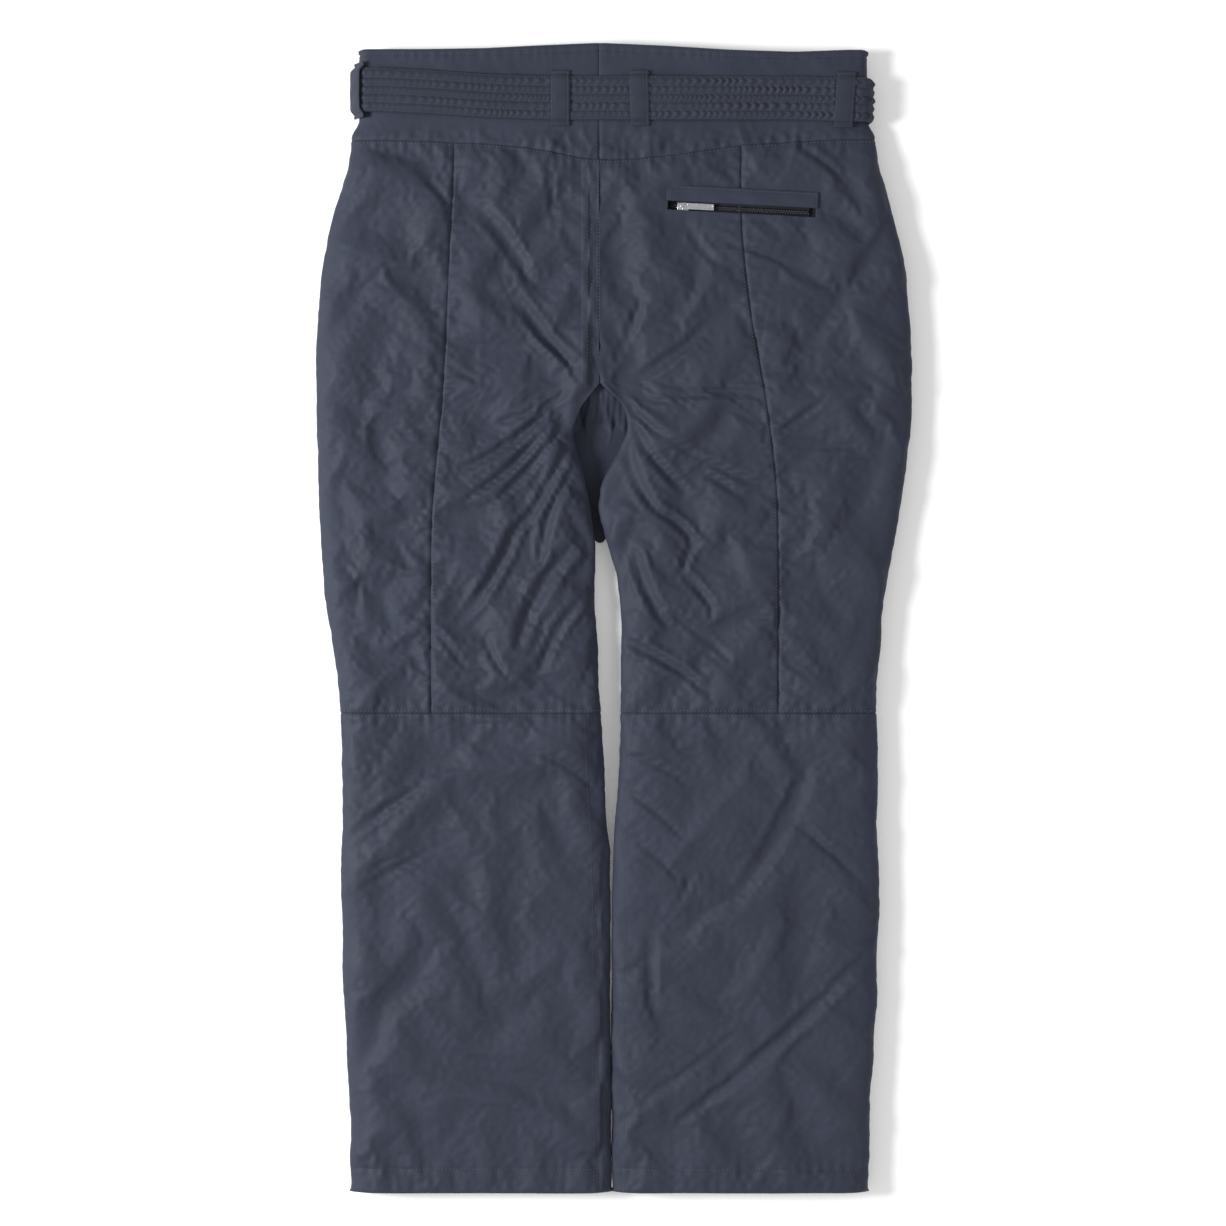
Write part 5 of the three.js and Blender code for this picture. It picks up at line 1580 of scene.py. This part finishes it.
def build_linings():
    for side in SIDES:
        across, outer, inner = panel_edges(side)
        edges, waves = across(outer, inner), across(side, "inner_" + side)
        seam_top = WAIST_SEAM_Y - 0.3
        for where, face in (("back", BACK), ("front", FRONT)):
            node = f"lining_{where}_{side}"
            made = panel(side, face, *edges, KNEE_Y, seam_top, *waves, **LINING_LAYER)
            piece = finish(made.build(node + "_cloth"), LINING_CLOTH, "lining", "root", node)


def tube(node, tall, shape, thick, rows=60, around=220, inset=0):
    """A flattened tube of cloth over a CAD node, and its perimeter; `tall` is half its height.

    shape(run, y, perimeter) pushes it outwards, where `run` is the distance round it.
    """
    low, high = cad_box(node)
    x0, x1 = low[0] + inset, high[0] - inset
    y = np.linspace(low[1], high[1], rows + 1)
    half = (x1 - x0) / 2 - tall
    perimeter = 4 * half + 2 * math.pi * tall
    p = np.linspace(0, perimeter, around, endpoint=False)
    centre = (x0 + x1) / 2
    edges = np.cumsum([0, 2 * half, math.pi * tall, 2 * half, math.pi * tall])
    top = p < edges[1]
    turn_right = (p >= edges[1]) & (p < edges[2])
    bottom = (p >= edges[2]) & (p < edges[3])
    angle = np.where(turn_right, (p - edges[1]) / tall, (p - edges[3]) / tall + math.pi)
    x = np.where(top, -half + p, np.where(bottom, half - (p - edges[2]), 0))
    nx, nz = np.zeros_like(p), np.where(top, 1.0, -1.0)
    bend = ~top & ~bottom
    nx[bend], nz[bend] = np.sin(angle[bend]), np.cos(angle[bend])
    x[bend] = np.where(turn_right[bend], half, -half)
    P, Y = np.meshgrid(p, y)
    push = shape(P, Y, perimeter)

    def wall(inset):
        far = tall + push - inset
        return np.stack([centre + x + nx * far, Y, MIDDLE + nz * far], axis=2)

    outer, inner = wall(0), wall(thick)
    first = (rows + 1) * around
    i, j = np.meshgrid(np.arange(rows), np.arange(around), indexing="ij")
    a, b = (i * around + j).ravel(), (i * around + (j + 1) % around).ravel()
    quads = [np.stack([a, b, b + around, a + around], axis=1)]
    quads.append(quads[0][:, ::-1] + first)
    j = np.arange(around)
    k = (j + 1) % around
    quads.append(np.stack([j, j + first, k + first, k], axis=1))
    top_row = rows * around
    quads.append(np.stack([k + top_row, k + first + top_row, j + first + top_row, j + top_row], axis=1))
    cloth = np.stack([P, Y, 0 * P], axis=2).reshape(-1, 3)
    points = np.concatenate([outer.reshape(-1, 3), inner.reshape(-1, 3)])
    cloth = np.concatenate([cloth, cloth])
    return make_mesh(node + "_cloth", points, np.concatenate(quads), cloth=cloth), perimeter


SLEEVE_THICK = 0.7


def gathers(run, around):
    """The ruffles that the elastic draws the gaiter's cloth into."""
    turn = 2 * math.pi / around
    return np.sin(34 * turn * run + 0.8 * np.sin(5 * turn * run))


def build_sleeve(side):
    """The lower leg's lining."""
    node = f"lining_lower_{side}"
    low, high = cad_box(node)
    phase = rng.uniform(0, 6, 3)[0]

    def shape(run, y, around):
        turn = 2 * math.pi / around
        return 0.5 * np.sin(9 * turn * run + phase + y / 40) + 0.3 * np.sin(23 * turn * run + y / 18) - 0.3

    tall = (high[2] - low[2]) / 2 - SLEEVE_THICK
    made, around = tube(node, tall, shape, SLEEVE_THICK, inset=3)
    middle = [(inner_edge[side](y) + side_edge[side](y)) / 2 for y in (HEM_Y, KNEE_Y)]
    shift_to(made, middle)
    finish(made, LINING_CLOTH, "lining", f"shin_{side}", node, bends=True)


def build_gaiter(side):
    """The snow gaiter, ruffled towards the elastic at its lower edge."""
    node = f"gaiter_{side}"
    low, high = cad_box(node)

    def shape(run, y, around):
        turn = 2 * math.pi / around
        ruffle = gathers(run, around) * np.exp(-(y - low[1]) / 26)
        return 0.9 * ruffle + 0.5 * np.sin(7 * turn * run + y / 25) - 1.0

    made, around = tube(node, (high[2] - low[2]) / 2, shape, 0.7, 70, 420)
    finish(made, LINING_CLOTH, "lining", f"shin_{side}", node)


def build_gaiter_elastic(side):
    node = f"gaiter_elastic_{side}"
    low, high = cad_box(node)
    rib_start = cad_box(f"gaiter_{side}")[0][1]

    def shape(run, y, around):
        ribs = 0.16 * np.cos(2 * math.pi * (y - rib_start) / 1.75)
        return ribs + 0.5 * gathers(run, around) - 1.9

    made, around = tube(node, (high[2] - low[2]) / 2, shape, 0.9, 48, 420)
    finish(made, ELASTIC, "elastic", f"shin_{side}", node)


def build_leg_insides():
    for side in SIDES:
        build_sleeve(side)
        build_gaiter(side)
        build_gaiter_elastic(side)


def shift_to(piece, middle):
    """Slides a leg's tube sideways along its length, so that it stays in the middle of the leg."""
    centre = np.mean([v.co.x for v in piece.data.vertices]) / MM
    for vertex in piece.data.vertices:
        share = (vertex.co.y / MM - HEM_Y) / (KNEE_Y - HEM_Y)
        vertex.co.x += (mix(middle[0], middle[1], share) - centre) * MM


# ---- Room, light and camera -----------------------------------------------------------------------


FLOOR_HALF = 60000.0
WORLD_LIGHT = 0.58
LIGHTS = (
    ("key", (-2.2, 0.1, 1.6), 0.8, 96, (0.98, 0.99, 1.0)),
    ("fill", (1.9, -1.7, 2.2), 1.6, 20, (1, 1, 1)),
)
VIEW_WIDTH = 1.079  # metres across the picture, at the pants' mid height
LENS, SENSOR = 85, 36
CAMERA_X, CAMERA_Y = -0.0004, 0.004


def build_room():
    corners = FLOOR_HALF * np.array([[-1, -1, 0], [1, -1, 0], [1, 1, 0], [-1, 1, 0]])
    floor = make_mesh("floor", corners, [[0, 1, 2, 3]])
    floor.location.z = -0.0006  # make_mesh presses it up by 0.55 mm; this takes it just under the pants
    m = Nodes("pale_floor")
    m.set(Base_Color=(0.9, 0.9, 0.9, 1), Roughness=0.9, Emission_Color=(1, 1, 1, 1), Emission_Strength=0.1)
    floor.data.materials.append(m.material)
    world = bpy.data.worlds.new("studio")
    world.use_nodes = True
    world.node_tree.nodes["Background"].inputs[0].default_value = (1, 1, 1, 1)
    world.node_tree.nodes["Background"].inputs[1].default_value = WORLD_LIGHT
    bpy.context.scene.world = world


def add_light(name, place, size, power, colour):
    """A round lamp, aimed at the pants."""
    data = bpy.data.lights.new(name, "AREA")
    data.shape, data.size, data.energy, data.color = "DISK", size, power, colour
    light = linked(name, data)
    light.location = place
    light.rotation_euler = (-Vector(place)).to_track_quat("-Z", "Y").to_euler()


def build_camera():
    """Straight down, so far away that the pants fill the frame as a long lens shows them."""
    data = bpy.data.cameras.new("camera")
    data.lens, data.sensor_width = LENS, SENSOR
    camera = linked("camera", data)
    far = VIEW_WIDTH / 2 * data.lens / (data.sensor_width / 2)
    camera.location = (CAMERA_X, CAMERA_Y, far + HEIGHT * MM / 2)
    bpy.context.scene.camera = camera


build_gusset()
build_waistband()
build_belt()
build_loops()
plan_shell_stitches()
build_linings()
build_back_pocket()
build_hand_pockets()
build_fly()
build_hardware()
build_stitches()
build_leg_insides()
build_room()
for light in LIGHTS:
    add_light(*light)
build_camera()
bpy.context.scene.view_settings.view_transform = "Standard"
